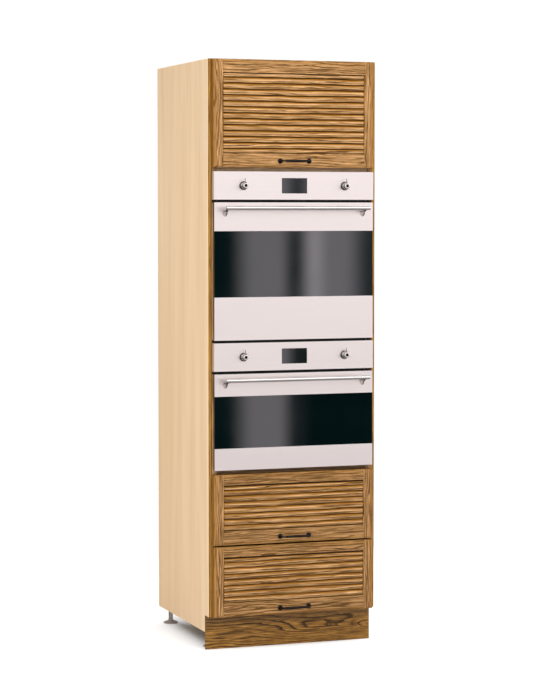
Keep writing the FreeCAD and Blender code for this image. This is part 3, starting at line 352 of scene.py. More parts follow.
def turned(name, colour, edge, rough, metallic):
    """Polished casting with painted shade: light where it faces the viewer, darker towards its outline."""
    t = Tree(name)
    n = t.noise(t.objc(), 60.0, 3.0, 0.6)
    lw = t.node("ShaderNodeLayerWeight")
    lw.inputs["Blend"].default_value = 0.5
    # painted shade: the colour darkens towards the outline as seen from the camera
    col = t.mix(t.span(lw.outputs["Facing"], 0.30, 0.62, 0.0, 1.0, True), colour, edge)
    col = t.mix(t.span(n, 0.4, 0.7, 0.0, 0.10), col, edge)
    return t.set(Base_Color=col, Metallic=metallic, Roughness=t.span(n, 0.3, 0.7, rough - 0.03, rough + 0.04), Normal=t.bump(n, 0.03, 0.0002))


def galvanised(name):
    """Zinc sheet with a faint crystal pattern."""
    t = Tree(name)
    c = t.objc()
    v = t.voronoi(c, 55.0, "Color")
    n = t.noise(c, 8.0, 3.0, 0.5)
    g = t.node("ShaderNodeRGBToBW")
    t.put(g, 0, v)
    f = t.math("ADD", t.math("MULTIPLY", g.outputs[0], 0.5), t.math("MULTIPLY", n, 0.5))
    col = t.ramp(f, [(0.25, srgb(140, 143, 146)), (0.5, srgb(168, 171, 174)), (0.8, srgb(192, 195, 198))])
    return t.set(Base_Color=col, Metallic=0.9, Roughness=t.span(g.outputs[0], 0.2, 0.8, 0.34, 0.5), Normal=t.bump(g.outputs[0], 0.04, 0.0003))


def dark_glass(name, colour=(0.0004, 0.0036, 0.0038, 1), rough=0.012, spec=0.5, reflection_fade=None):
    """Opaque black oven glass with a green cast, faint wipe marks and a soft coat."""
    t = Tree(name)
    c = t.objc()
    wipe = t.noise(t.scaled(c, (3.0, 3.0, 5.0), rot=(0, 0.5, 0)), 2.0, 4.0, 0.6)
    dust = t.noise(c, 900.0, 1.0, 0.5)
    col = t.ramp(wipe, [(0.3, colour), (0.8, tuple(x * 1.5 for x in colour[:3]) + (1,))])
    if reflection_fade:
        # painted reflection: the smoked window is paler at the left
        x = t.math("MULTIPLY_ADD", t.math("SUBTRACT", wipe, 0.5), 0.01, t.split(c)[0])
        col = t.mix(t.span(x, -0.046, 0.020, 1.0, 0.0, True), col, reflection_fade)
    r = t.math("ADD", t.span(wipe, 0.35, 0.7, rough, rough + 0.02), t.span(dust, 0.75, 0.9, 0.0, 0.03))
    return t.set(Base_Color=col, Roughness=r, IOR=1.5, Specular_IOR_Level=spec)


def plastic(name, colour, rough, scale=220.0, bump=0.05, spec=0.5):
    t = Tree(name)
    c = t.objc()
    n = t.noise(c, scale, 3.0, 0.6)
    big = t.noise(c, 12.0, 3.0, 0.5)
    lo = tuple(x * 0.86 for x in colour[:3]) + (1,)
    hi = tuple(min(1, x * 1.16 + 0.001) for x in colour[:3]) + (1,)
    col = t.ramp(t.math("ADD", t.math("MULTIPLY", n, 0.5), t.math("MULTIPLY", big, 0.5)), [(0.3, lo), (0.5, colour), (0.7, hi)])
    return t.set(Base_Color=col, Roughness=t.span(n, 0.3, 0.7, rough - 0.04, rough + 0.05), Normal=t.bump(n, bump, 0.0003), Specular_IOR_Level=spec)


M = {}
SHADE_AMBER, SHADE_DEEP = srgb(136, 90, 22), srgb(38, 20, 5)
M["oak"] = oak("oak_front", srgb(162, 122, 79), srgb(136, 98, 54), srgb(84, 55, 20), srgb(78, 50, 20), SHADE_AMBER, SHADE_DEEP)
M["oak_slat"] = oak("oak_slats", srgb(168, 130, 89), srgb(140, 103, 60), srgb(82, 55, 23), srgb(78, 50, 20), srgb(138, 88, 14), SHADE_DEEP, contrast=0.95, wave=0.7, along=0.8)
M["edge"] = oak("oak_edging", srgb(160, 116, 49), srgb(132, 91, 34), srgb(95, 60, 21), srgb(80, 50, 20), SHADE_AMBER, SHADE_DEEP, contrast=0.6, wave=0.3)
# copies of one oak edging: the first is painted light for the shadowed recesses, the other two are painted shade
M["recess"] = oak("oak_edging_lightened", srgb(226, 188, 150), srgb(206, 164, 126), srgb(164, 122, 86), srgb(90, 64, 42), srgb(110, 78, 50), srgb(54, 36, 22), contrast=0.7, wave=0.3)
M["recess_dark"] = oak("oak_side_edging_shaded", srgb(182, 142, 102), srgb(158, 118, 80), srgb(124, 88, 54), srgb(60, 40, 22), srgb(80, 56, 32), srgb(40, 26, 14), contrast=0.7, wave=0.3)
M["recess_low"] = oak("oak_shelf_edging_shaded", srgb(122, 92, 62), srgb(102, 74, 46), srgb(76, 54, 32), srgb(56, 38, 22), srgb(80, 56, 32), srgb(40, 26, 14), contrast=0.7, wave=0.3)
M["plinth"] = plank_oak("oak_plinth")
M["birch"] = birch("birch_side", srgb(236, 205, 167), srgb(242, 213, 178), srgb(227, 192, 149), side=True)
M["board"] = birch("carcass_board", srgb(234, 210, 178), srgb(242, 222, 194), srgb(216, 186, 148))
M["board_h"] = birch("carcass_shelf", srgb(234, 210, 178), srgb(242, 222, 194), srgb(216, 186, 148), vertical=False)
# painted shade: the carcass top is a darker copy of the carcass board, against the strong overhead light
M["board_top"] = birch("carcass_top_board", srgb(204, 172, 132), srgb(214, 185, 148), srgb(182, 148, 108), vertical=False, bump=0.2)
# painted shade: the carcass bottom is a darker copy of the carcass board, for the shade under the cabinet
M["board_shaded_under"] = birch("carcass_foot_board", srgb(140, 118, 96), srgb(154, 132, 108), srgb(118, 98, 78), vertical=False, bump=0.25)
M["hard"] = birch("back_board", srgb(226, 200, 166), srgb(236, 214, 184), srgb(206, 176, 138), bump=0.2)
M["drawer"] = birch("drawer_sides", srgb(208, 186, 154), srgb(219, 199, 169), srgb(190, 165, 130), vertical=False)
M["steel"] = brushed("oven_steel", srgb(244, 234, 232), 0.38, "X", amount=0.025, returns=(0.012, 0.012, 0.013, 1))
M["steel_panel"] = brushed("oven_panel_steel", srgb(244, 234, 232), 0.38, "X", amount=0.025, returns=(0.012, 0.012, 0.013, 1), flank=srgb(176, 152, 130))
M["panel_side"] = plain_metal("oven_sides", srgb(74, 72, 76), 0.4, metallic=0.4)
# painted shade: the oven front frames seen through the gaps are near black
M["dark_frame"] = plain_metal("front_frame_black", (0.0035, 0.0035, 0.0035, 1), 0.6, metallic=0.0, amount=0.2)
M["steel_bar"] = brushed("handle_steel", srgb(250, 246, 243), 0.27, "X", amount=0.02, bump=0.03)
M["chrome"] = plain_metal("chrome", srgb(238, 233, 230), 0.20, amount=0.02, bump=0.01)
M["chrome_dark"] = plain_metal("chrome_bezel_shaded", srgb(84, 78, 76), 0.13, amount=0.05, bump=0.01)
M["bracket"] = turned("handle_bracket", srgb(216, 203, 198), srgb(52, 44, 42), 0.30, 0.45)
M["glass"] = dark_glass("oven_glass", (0.0003, 0.0028, 0.0030, 1))
M["display"] = dark_glass("display_glass", (0.0022, 0.0042, 0.0042, 1), 0.016, 0.30, reflection_fade=(0.036, 0.036, 0.038, 1))
M["bronze"] = plain_metal("black_bronze", (0.020, 0.018, 0.018, 1), 0.34, metallic=0.85, scale=120.0, amount=0.3, bump=0.15, worn=(0.075, 0.06, 0.05, 1))
M["zinc"] = plain_metal("zinc_fittings", srgb(186, 190, 194), 0.30, scale=60.0)
M["leg"] = brushed("leg_steel", srgb(196, 186, 182), 0.30, "Z", metallic=0.45, amount=0.05)
M["foot"] = plain_metal("leg_foot", srgb(160, 146, 140), 0.42, metallic=0.30, scale=90.0, amount=0.12)
M["black_paint"] = plain_metal("strut_black", (0.012, 0.012, 0.013, 1), 0.25, metallic=0.0, scale=80.0, amount=0.2)
M["polished"] = plain_metal("polished_rod", srgb(214, 214, 214), 0.12, amount=0.03, bump=0.02)
M["alu"] = brushed("door_aluminium", srgb(150, 152, 155), 0.38, "X", amount=0.05)
M["galv"] = galvanised("galvanised_sheet")
M["enamel"] = plain_metal("dark_enamel", (0.017, 0.017, 0.020, 1), 0.22, metallic=0.0, scale=30.0, amount=0.15, bump=0.10, worn=(0.16, 0.17, 0.19, 1))
M["element"] = plain_metal("heating_element", srgb(96, 86, 80), 0.45, scale=40.0, amount=0.2, worn=srgb(132, 104, 84))
M["rubber"] = plastic("seal_rubber", (0.012, 0.012, 0.012, 1), 0.62, bump=0.15)
M["black"] = plastic("black_plastic", (0.018, 0.018, 0.018, 1), 0.48, bump=0.12)
M["mark"] = plastic("printed_marks", srgb(168, 158, 156), 0.55)
M["pointer"] = plain_metal("knob_pointer", srgb(138, 128, 126), 0.35, metallic=0.3)
M["dot"] = plastic("knob_dot", (0.002, 0.002, 0.002, 1), 0.40, spec=0.12)


def paint(obj, mat):
    obj.data.materials.clear()
    obj.data.materials.append(mat)


# ------------------------------------------------------------------ mesh helpers
class Mesh:
    """Collects closed shells with a grain vector, a tone and a painted shade value for each point."""

    def __init__(self):
        self.v, self.f, self.g, self.t, self.d = [], [], [], [], []

    def add(self, verts, faces, grain=None, tone=0.5, painted_shade=0.0):
        k = len(self.v)
        self.v += [tuple(p) for p in verts]
        self.f += [tuple(i + k for i in f) for f in faces]
        self.g += [tuple(p) for p in (grain if grain is not None else verts)]
        self.t += list(tone) if hasattr(tone, "__len__") else [tone] * len(verts)
        self.d += list(painted_shade) if hasattr(painted_shade, "__len__") else [painted_shade] * len(verts)

    def done(self, name, mat, body, slot=None, replaces=(), smooth=40, bevel=None, rest=None):
        me = bpy.data.meshes.new(name)
        me.from_pydata(self.v, [], self.f)
        a = me.attributes.new("grain", "FLOAT_VECTOR", "POINT")
        a.data.foreach_set("vector", np.array(self.g, np.float32).ravel())
        a = me.attributes.new("tone", "FLOAT", "POINT")
        a.data.foreach_set("value", np.array(self.t, np.float32))
        a = me.attributes.new("painted_shade", "FLOAT", "POINT")
        a.data.foreach_set("value", np.array(self.d, np.float32))
        me.validate()
        ob = bpy.data.objects.new(name, me)
        SC.collection.objects.link(ob)
        if smooth:
            for p in me.polygons:
                p.use_smooth = True
            me.set_sharp_from_angle(angle=math.radians(smooth))
        me.materials.append(mat)
        if bevel:
            b = ob.modifiers.new("edge", "BEVEL")
            b.width = bevel
            b.segments = 2
            b.limit_method = "ANGLE"
            b.angle_limit = math.radians(40)
            b.harden_normals = True
        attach(ob, body)
        if replaces:
            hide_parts(*replaces)
        return ob


def rounded(pts, r, n=3):
    """A 2D outline with its corners rounded. r is one radius or one for each point."""
    out = []
    m = len(pts)
    for i in range(m):
        p, a, b = Vector(pts[i]), Vector(pts[i - 1]), Vector(pts[(i + 1) % m])
        ri = r[i] if hasattr(r, "__len__") else r
        if ri <= 0:
            out.append(tuple(p))
            continue
        da, db = (a - p), (b - p)
        la, lb = da.length, db.length
        da.normalize(); db.normalize()
        ang = da.angle(db)
        cut = min(ri / math.tan(ang / 2), la * 0.45, lb * 0.45)
        s, e = p + da * cut, p + db * cut
        for k in range(n + 1):
            u = k / n
            out.append(tuple(s * (1 - u) ** 2 + p * 2 * u * (1 - u) + e * u * u))
    return out


def area2(pts):
    return sum(pts[i - 1][0] * p[1] - p[0] * pts[i - 1][1] for i, p in enumerate(pts)) / 2


def extrude(mesh, outline, to3, a, b, steps=1, grain=None, tone=0.5, painted_shade=None):
    """A closed bar: the outline (2D) swept from a to b. to3(u, v, w) gives the point."""
    n = len(outline)
    ws = list(steps) if hasattr(steps, "__len__") else [a + (b - a) * i / steps for i in range(steps + 1)]
    steps = len(ws) - 1
    verts = [to3(u, v, w) for w in ws for u, v in outline]
    faces = []
    for i in range(steps):
        for j in range(n):
            k = (j + 1) % n
            faces.append((i * n + j, i * n + k, (i + 1) * n + k, (i + 1) * n + j))
    faces.append(tuple(reversed(range(n))))
    faces.append(tuple(range(steps * n, steps * n + n)))
    # outward faces
    p = [Vector(verts[i]) for i in (0, 1)]
    vol = 0.0
    for f in faces:
        o = Vector(verts[f[0]])
        for i in range(1, len(f) - 1):
            vol += o.dot(Vector(verts[f[i]]).cross(Vector(verts[f[i + 1]])))
    if vol < 0:
        faces = [tuple(reversed(f)) for f in faces]
    mesh.add(verts, faces, [grain(v) for v in verts] if grain else None, tone, [painted_shade(v) for v in verts] if painted_shade else 0.0)


def lathe(mesh, profile, to3, n=40, tone=0.5):
    """A closed turned shape: profile is (radius, height) from one end of the axis to the other. to3(x, y, h) gives the point."""
    rings, verts = [], []
    for r, h in profile:
        if r < 1e-7:
            rings.append([len(verts)])
            verts.append(to3(0, 0, h))
        else:
            rings.append(list(range(len(verts), len(verts) + n)))
            verts += [to3(r * math.cos(2 * math.pi * k / n), r * math.sin(2 * math.pi * k / n), h) for k in range(n)]
    faces = []
    for a, b in zip(rings, rings[1:]):
        for k in range(n):
            j = (k + 1) % n
            if len(a) == 1 and len(b) == 1:
                continue
            if len(a) == 1:
                faces.append((a[0], b[j], b[k]))
            elif len(b) == 1:
                faces.append((a[k], a[j], b[0]))
            else:
                faces.append((a[k], a[j], b[j], b[k]))
    vol = 0.0
    for f in faces:
        o = Vector(verts[f[0]])
        for i in range(1, len(f) - 1):
            vol += o.dot(Vector(verts[f[i]]).cross(Vector(verts[f[i + 1]])))
    if vol < 0:
        faces = [tuple(reversed(f)) for f in faces]
    mesh.add(verts, faces, None, tone)


def tube(mesh, pts, radii, n=16, squash=None, tone=0.5):
    """A closed bent bar through pts with its own radius at each; squash gives (wide, high) factors in the frame."""
    pts = [Vector(p) for p in pts]
    verts, faces = [], []
    up = Vector((0, 0, 1))
    for i, p in enumerate(pts):
        d = (pts[min(i + 1, len(pts) - 1)] - pts[max(i - 1, 0)]).normalized()
        side = d.cross(up)
        if side.length < 1e-4:
            side = Vector((1, 0, 0))
        side.normalize()
        top = side.cross(d).normalized()
        sw, sh = squash[i] if squash else (1, 1)
        for k in range(n):
            a = 2 * math.pi * k / n
            verts.append(tuple(p + side * math.cos(a) * radii[i] * sw + top * math.sin(a) * radii[i] * sh))
    m = len(pts)
    for i in range(m - 1):
        for k in range(n):
            j = (k + 1) % n
            faces.append((i * n + k, i * n + j, (i + 1) * n + j, (i + 1) * n + k))
    faces.append(tuple(reversed(range(n))))
    faces.append(tuple(range((m - 1) * n, m * n)))
    vol = 0.0
    for f in faces:
        o = Vector(verts[f[0]])
        for i in range(1, len(f) - 1):
            vol += o.dot(Vector(verts[f[i]]).cross(Vector(verts[f[i + 1]])))
    if vol < 0:
        faces = [tuple(reversed(f)) for f in faces]
    mesh.add(verts, faces, None, tone)


def grain_fn(along, across, seed):
    """Grain vector of a board: along and across are axis indices; each board has its own place in the wood."""
    rnd = random.Random(seed)
    o = (rnd.uniform(0, 60), rnd.uniform(0, 60), rnd.uniform(0, 60))
    rest = 3 - along - across
    return lambda v: (v[along] + o[0], v[across] + o[1], v[rest] + o[2])


# ------------------------------------------------------------------ louvred fronts
def wavy(seed, n=7):
    """A smooth uneven line along the width."""
    rnd = random.Random(seed)
    parts = [(rnd.uniform(0.35, 1.0) / (1 + 0.45 * k), 2 * math.pi / rnd.uniform(0.46 / (k + 1), 0.80 / (k + 1)), rnd.uniform(0, 6.3)) for k in range(n)]
    norm = sum(p[0] for p in parts) ** 0.5
    return lambda x: sum(a * math.sin(w * x + p) for a, w, p in parts) / norm


# painted shade: the boards of the drawers are a little darker than those of the flap, as the light falls off lower down
LOW_FRONT_SHADE = {"flap": 0.0, "upper_drawer": -0.22, "lower_drawer": -0.22}

# (height within a slat, depth, painted groove shade, tone lift: painted highlight on the lit shoulder, slight painted
# shade near the foot)
SLAT = [(0.000, -16.3, 1.00, 0), (0.016, -16.8, 1.00, 0), (0.034, -18.4, 0.96, 0), (0.055, -20.0, 0.66, 0), (0.085, -20.8, 0.30, -0.1), (0.13, -21.15, 0.10, -0.05),
        (0.20, -21.4, 0.0, 0.0), (0.32, -21.4, 0.0, 0.0), (0.44, -21.4, 0.0, 0.06), (0.52, -21.25, 0.0, 0.30), (0.585, -20.9, 0.0, 0.46), (0.635, -20.5, 0.06, 0.40),
        (0.68, -20.0, 0.30, 0.20), (0.74, -19.35, 0.46, 0.1), (0.80, -18.7, 0.50, 0.0), (0.86, -17.9, 0.56, 0.0), (0.905, -17.2, 0.92, 0.0),
        (0.96, -16.5, 1.0, 0.0), (0.985, -16.4, 1.0, 0.0)]


def louvre(label, z0, low, groove0, high, count, pitch=20.6):
    mesh = Mesh()
    dim = LOW_FRONT_SHADE[label]
    cols = 150
    half = 264.6
    xs = np.linspace(-half, half, cols + 1)
    edges = [low + 0.2] + [groove0 + pitch * k for k in range(count)] + [high - 0.2]
    lines = []
    for k, e in enumerate(edges):
        amp = 0.0 if k in (0, len(edges) - 1) else 1.15
        w = wavy(hash_seed(label, k), 9)
        lines.append([e + amp * w(x * 0.001) for x in xs])
    rows, tones, gr, dp = [], [], [], []
    for k in range(len(edges) - 1):
        rnd = random.Random(hash_seed(label, 500 + k))
        g0 = (rnd.uniform(0, 90), rnd.uniform(0, 90), rnd.uniform(0, 90))
        base = rnd.uniform(0.36, 0.66)
        thick = wavy(hash_seed(label, 1700 + k), 8)
        hgt = (edges[k + 1] - edges[k])
        face_w, top_w = wavy(hash_seed(label, 900 + k)), wavy(hash_seed(label, 1300 + k))
        for t, y, shade, highlight_lift in SLAT:
            row, tr, gg, dd = [], [], [], []
            if k == len(edges) - 2 and dim < 0:
                # a wide shadow groove under the high rail
                t *= 0.77 if t < 0.95 else 1.0
                if y > -17.3:
                    y, shade = -15.4, 1.0
            elif k == len(edges) - 2 and 0.6 < t < 0.85:
                y, shade = y - 0.8, shade * 0.30
            elif k == len(edges) - 2 and t > 0.85:
                y, shade = -16.0, 1.0
            if k == 0 and 0 < t < 0.15:
                # and one at the foot, along the low rail
                t = 0.055 + 0.9 * t
            for i, x in enumerate(xs):
                za, zb = lines[k][i], lines[k + 1][i]
                dy = 0.0
                if 0.05 < t < 0.95:
                    dy = 0.30 * face_w(x * 0.001) * math.sin(math.pi * t) + 0.20 * top_w(x * 0.001 + t * 0.02)
                yy = max(y + dy + (0.15 if 0.05 < t < 0.95 else 0), -21.7)
                # painted shade: the grooves get the shade column, a little unevenly along the width; on the drawers it
                # is held lighter between the slats
                dark = shade * (1.0 + 0.30 * thick(x * 0.001)) if shade < 0.95 else 1.0
                if dim < 0 and 0 < k < len(edges) - 2 or dim < 0 and k == 0 and t > 0.5:
                    dark = min(dark, 0.86 + 0.10 * thick(x * 0.0013))
                # painted shade: the slat ends next to the stiles are darkened
                end = (half - abs(x))
                if end < 3.2:
                    yy = min(-17.2, yy + (3.2 - end) * 1.25) if end < 3.2 else yy
                    yy = max(yy, y if y > -17.5 else yy)
                    dark = max(dark, 0.75 * (1 - end / 3.2) * (1.0 if t < 0.12 or t > 0.72 else 0.45))
                z = z0 + za + (zb - za) * t
                row.append(mm(x, yy, z))
                dd.append(min(1.0, max(0.0, dark)))
                # painted highlight: the tone lift of the slat table lightens the lit shoulder
                tr.append(base + dim + highlight_lift * (1.0 + 0.35 * top_w(x * 0.002)) + 0.10 * face_w(x * 0.0016))
                gg.append((x * 0.001 + g0[0], z * 0.001 + g0[1], yy * 0.001 + g0[2]))
            rows.append(row); tones.append(tr); gr.append(gg); dp.append(dd)
    # painted shade: the top edge under the high rail is fully shaded
    row = [mm(x, -16.3, z0 + edges[-1]) for x in xs]
    dp.append([1.0] * len(xs))
    rows.append(row); tones.append([0.3] * len(xs)); gr.append([(p[0] + g0[0], p[2] + g0[1], p[1] + g0[2]) for p in row])
    nr, nc = len(rows), len(xs)
    verts = [p for r in rows for p in r]
    tone = [p for r in tones for p in r]
    painted_shade = [p for r in dp for p in r]
    grain = [p for r in gr for p in r]
    faces = [(i * nc + j, i * nc + j + 1, (i + 1) * nc + j + 1, (i + 1) * nc + j) for i in range(nr - 1) for j in range(nc - 1)]
    back = len(verts)
    loop = [i * nc for i in range(nr)]                       # left column upwards
    bl = [(-half, edges[0]), (half, edges[0]), (half, edges[-1]), (-half, edges[-1])]
    verts += [mm(x, -8, z0 + z) for x, z in bl]
    grain += [(p[0] + g0[0], p[2] + g0[1], p[1] + g0[2]) for p in verts[back:]]
    tone += [0.4] * 4
    painted_shade += [0.0] * 4
    b0, b1, b2, b3 = back, back + 1, back + 2, back + 3
    faces.append((b0, b3, b2, b1))
    faces.append(tuple([b0, b1] + [nc - 1 - j for j in range(nc)]))                     # bottom
    faces.append(tuple([b2, b3] + [(nr - 1) * nc + j for j in range(nc)]))              # top
    faces.append(tuple([b3, b0] + [i * nc for i in range(nr)]))                         # left
    faces.append(tuple([b1, b2] + [(nr - 1 - i) * nc + nc - 1 for i in range(nr)]))     # right
    mesh.add(verts, faces, grain, tone, painted_shade)
    return mesh


def hash_seed(label, k):
    return sum(ord(c) * (i + 7) for i, c in enumerate(label)) * 31 + k * 977


def frame_board(mesh, us, vs, depth, back, to3, grain, tone, painted_shade):
    """A board over the grid us x vs. depth(u, v) is the front, back the rear; every side is closed."""
    nu, nv = len(us), len(vs)
    verts = [to3(u, v, depth(u, v)) for v in vs for u in us] + [to3(u, v, back) for v in vs for u in us]
    m = nu * nv
    faces = []
    for i in range(nv - 1):
        for j in range(nu - 1):
            a = i * nu + j
            q = (a, a + 1, a + nu + 1, a + nu)
            # cut bevelled corners along the mitre
            za = depth(us[j], vs[i]) + depth(us[j + 1], vs[i + 1])
            zb = depth(us[j + 1], vs[i]) + depth(us[j], vs[i + 1])
            if abs(za - zb) > 1e-6:
                if za < zb:
                    faces += [(q[0], q[1], q[2]), (q[0], q[2], q[3])]
                else:
                    faces += [(q[0], q[1], q[3]), (q[1], q[2], q[3])]
            else:
                faces.append(q)
            faces.append(tuple(m + k for k in reversed(q)))
    for i in range(nv - 1):
        for j, rev in ((0, False), (nu - 1, True)):
            a, b = i * nu + j, (i + 1) * nu + j
            f = (a, b, m + b, m + a)
            faces.append(tuple(reversed(f)) if rev else f)
    for j in range(nu - 1):
        for i, rev in ((0, True), (nv - 1, False)):
            a, b = i * nu + j, i * nu + j + 1
            f = (a, b, m + b, m + a)
            faces.append(tuple(reversed(f)) if rev else f)
    vol = 0.0
    for f in faces:
        o = Vector(verts[f[0]])
        for i in range(1, len(f) - 1):
            vol += o.dot(Vector(verts[f[i]]).cross(Vector(verts[f[i + 1]])))
    if vol < 0:
        faces = [tuple(reversed(f)) for f in faces]
    mesh.add(verts, faces, [grain(v) for v in verts], [tone(v) for v in verts], [painted_shade(v) for v in verts])


def front_frame(label, z0, low, high, height):
    """Two stiles and two rails with a mitred bevel round the outside and eased inner edges."""
    mesh = Mesh()
    top = z0 + height
    side, head = 9.5, 12.0

    def depth(x, z):
        f = max(0.0, (abs(x) - (300 - side)) / side, (z - (top - head)) / head, ((z0 + 7.0) - z) / 7.0)
        return -22 + 2.0 * min(1.0, f)

    # painted shade: the foot and top faces, the sides, the lines against the slats and the bevels are darkened, as they
    # lie in shadow
    def shade(v):
        x, y, z = abs(v[0]) * 1000, (v[1] - Y0) * 1000, v[2] * 1000
        if z < z0 + 0.01 or z > top - 0.01:
            return 0.80
        if x > 299.6:
            return 0.36
        if y > -2.0:
            return 0.0
        if min(abs(z - z0 - low), abs(z - z0 - high)) < 0.01 and x < 264.9:
            return 0.85
        if abs(x - 290.5) < 0.2:
            return 0.34
        if x > 290.8:
            return 0.23
        if abs(z - (top - head)) < 0.2 or abs(z - (z0 + 7.0)) < 0.2:
            return 0.42
        if z > top - head or z < z0 + 7.0:
            return 0.16
        return 0.0

    def bright(v, inner, across, base):
        # painted highlight: the eased inner edges get a lighter tone, as they catch the light
        d = abs(abs(v[across]) * 1000 - inner)
        return base + LOW_FRONT_SHADE[label] + (0.30 if d < 1.3 else 0.0)

    for s in (-1, 1):
        g = grain_fn(2, 0, hash_seed(label, 10 + s))
        xs = [265.15, 265.9, 267.5, 275, 283, 289.5, 290.5, 291.6, 299.2, 300]
        us = sorted(x * s for x in xs)
        n = 30
        vs = [z0, z0 + 0.8, z0 + 6.2, z0 + 7.0, z0 + 8.0] + [z0 + 8 + (height - 22) * k / n for k in range(1, n + 1)] + [top - 12.8, top - 12, top - 11.2, top - 0.8, top]
        vs = sorted(set(round(v, 4) for v in vs))

        def dep(u, v):
            d = depth(u, v)
            if abs(abs(u) - 265.15) < 0.01:
                d += 0.75
            if abs(abs(u) - 300) < 0.01 or v < z0 + 0.01 or v > top - 0.01:
                d += 0.5
            return d
        frame_board(mesh, us, vs, dep, -1.5, lambda u, v, w: mm(u, w, v), g, lambda v, s=s: bright(v, 266.0, 0, (0.51 if label == "flap" else 0.56) - 0.03 * s), shade)
    for k, (a, b) in enumerate(((z0, z0 + low), (z0 + high, top))):
        g = grain_fn(0, 2, hash_seed(label, 40 + k))
        us = [-264.85 + 529.7 * i / 44 for i in range(45)]
        if k == 0:
            vs = [a, a + 0.8, a + 6.2, a + 7.0, a + 8.0, a + 20, a + 35, b - 2.2, b - 0.8, b]
        else:
            vs = [a, a + 0.8, a + 2.4] + [a + 2.4 + (height - high - 15.6) * i / 3 for i in (1, 2, 3)] + [top - 12.0, top - 11.2, top - 0.8, top]
        inner = b if k == 0 else a

        def dep(u, v, inner=inner):
            d = depth(u, v)
            if abs(v - inner) < 0.01:
                d += 0.75
            if v < z0 + 0.01 or v > top - 0.01:
                d += 0.5
            return d
        frame_board(mesh, us, vs, dep, -1.5, lambda u, v, w: mm(u, w, v), g, lambda v, k=k, inner=inner: bright(v, inner, 2, (0.57 if k == 0 else 0.47) if label == "flap" else 0.42), shade)
    return mesh


def bow(mesh, zc):
    """Bow handle: domed rosettes, thin necks with a ring and a bar that swells in the middle."""
    for s in (-1, 1):
        prof = [(0, -22.0), (8.4, -22.0), (8.5, -22.5), (8.5, -23.4), (8.1, -24.0), (7.2, -24.35), (6.4, -24.3), (5.6, -24.9), (4.4, -25.6), (3.6, -26.6), (3.1, -28.4), (2.9, -31), (0, -31)]
        lathe(mesh, prof, lambda x, y, h, s=s: mm(54 * s + 1.08 * x, h, zc + 1.08 * y), 36)
    pts, rad = [], []
    n = 10
    for k in range(4):                                        # left post
        pts.append((-54, -24 - k * 3.2)); rad.append(3.1 - 0.1 * k)
    for k in range(n + 1):                                    # bend
        a = math.pi + (math.pi / 2) * k / n
        pts.append((-43 + 11 * math.cos(a), -35 + 11 * math.sin(a))); rad.append(2.8)
    full = 24
    for k in range(1, full):
        u = k / full
        x = -43 + 86 * u
        r = 3.2 + 1.45 * math.sin(math.pi * u) ** 0.5
        for c, wdt in ((0.045, 0.018), (0.955, 0.018)):
            r += 1.3 * math.exp(-((u - c) / wdt) ** 2)
        pts.append((x, -46)); rad.append(min(r, 4.65))
    for k in range(n + 1):
        a = 1.5 * math.pi + (math.pi / 2) * k / n
        pts.append((43 + 11 * math.cos(a), -35 + 11 * math.sin(a))); rad.append(2.8)
    for k in range(3, -1, -1):
        pts.append((54, -24 - k * 3.2)); rad.append(3.1 - 0.1 * k)
    tube(mesh, [mm(x, y, zc) for x, y in pts], [r * 0.001 for r in rad], 20)


for label, body, z0, h, low, g0, high, count in (
        ("flap", "flap", 1703, 376, 49, 66.3, 329, 13),
        ("upper_drawer", "upper_drawer", 377.6, 249.5, 49.8, 70.9, 212.1, 7),
        ("lower_drawer", "lower_drawer", 122.7, 249.5, 49.8, 70.9, 212.1, 7)):
    louvre(label, z0, low, g0, high, count).done(label + "_slats", M["oak_slat"], body, "oak_louvre", [label + "_louvre_panel"], smooth=50)
    if label != "flap":
        front_frame(label, z0, low, high, h).done(label + "_boards", M["oak"], body, "oak", [label + "_frame"], smooth=25)
    m = Mesh()
    bow(m, z0 + 23.5)
    m.done(label + "_bow_handle", M["bronze"], body, "black_bronze", [label + "_handle"], smooth=60)

# flap frame: the same stiles and rails; the two slots at the back of its high rail for the hinge arms are not cut here
m = front_frame("flap", 1703, 49, 329, 376)
m.done("flap_boards", M["oak"], "flap", "oak", ["flap_frame"], smooth=25)

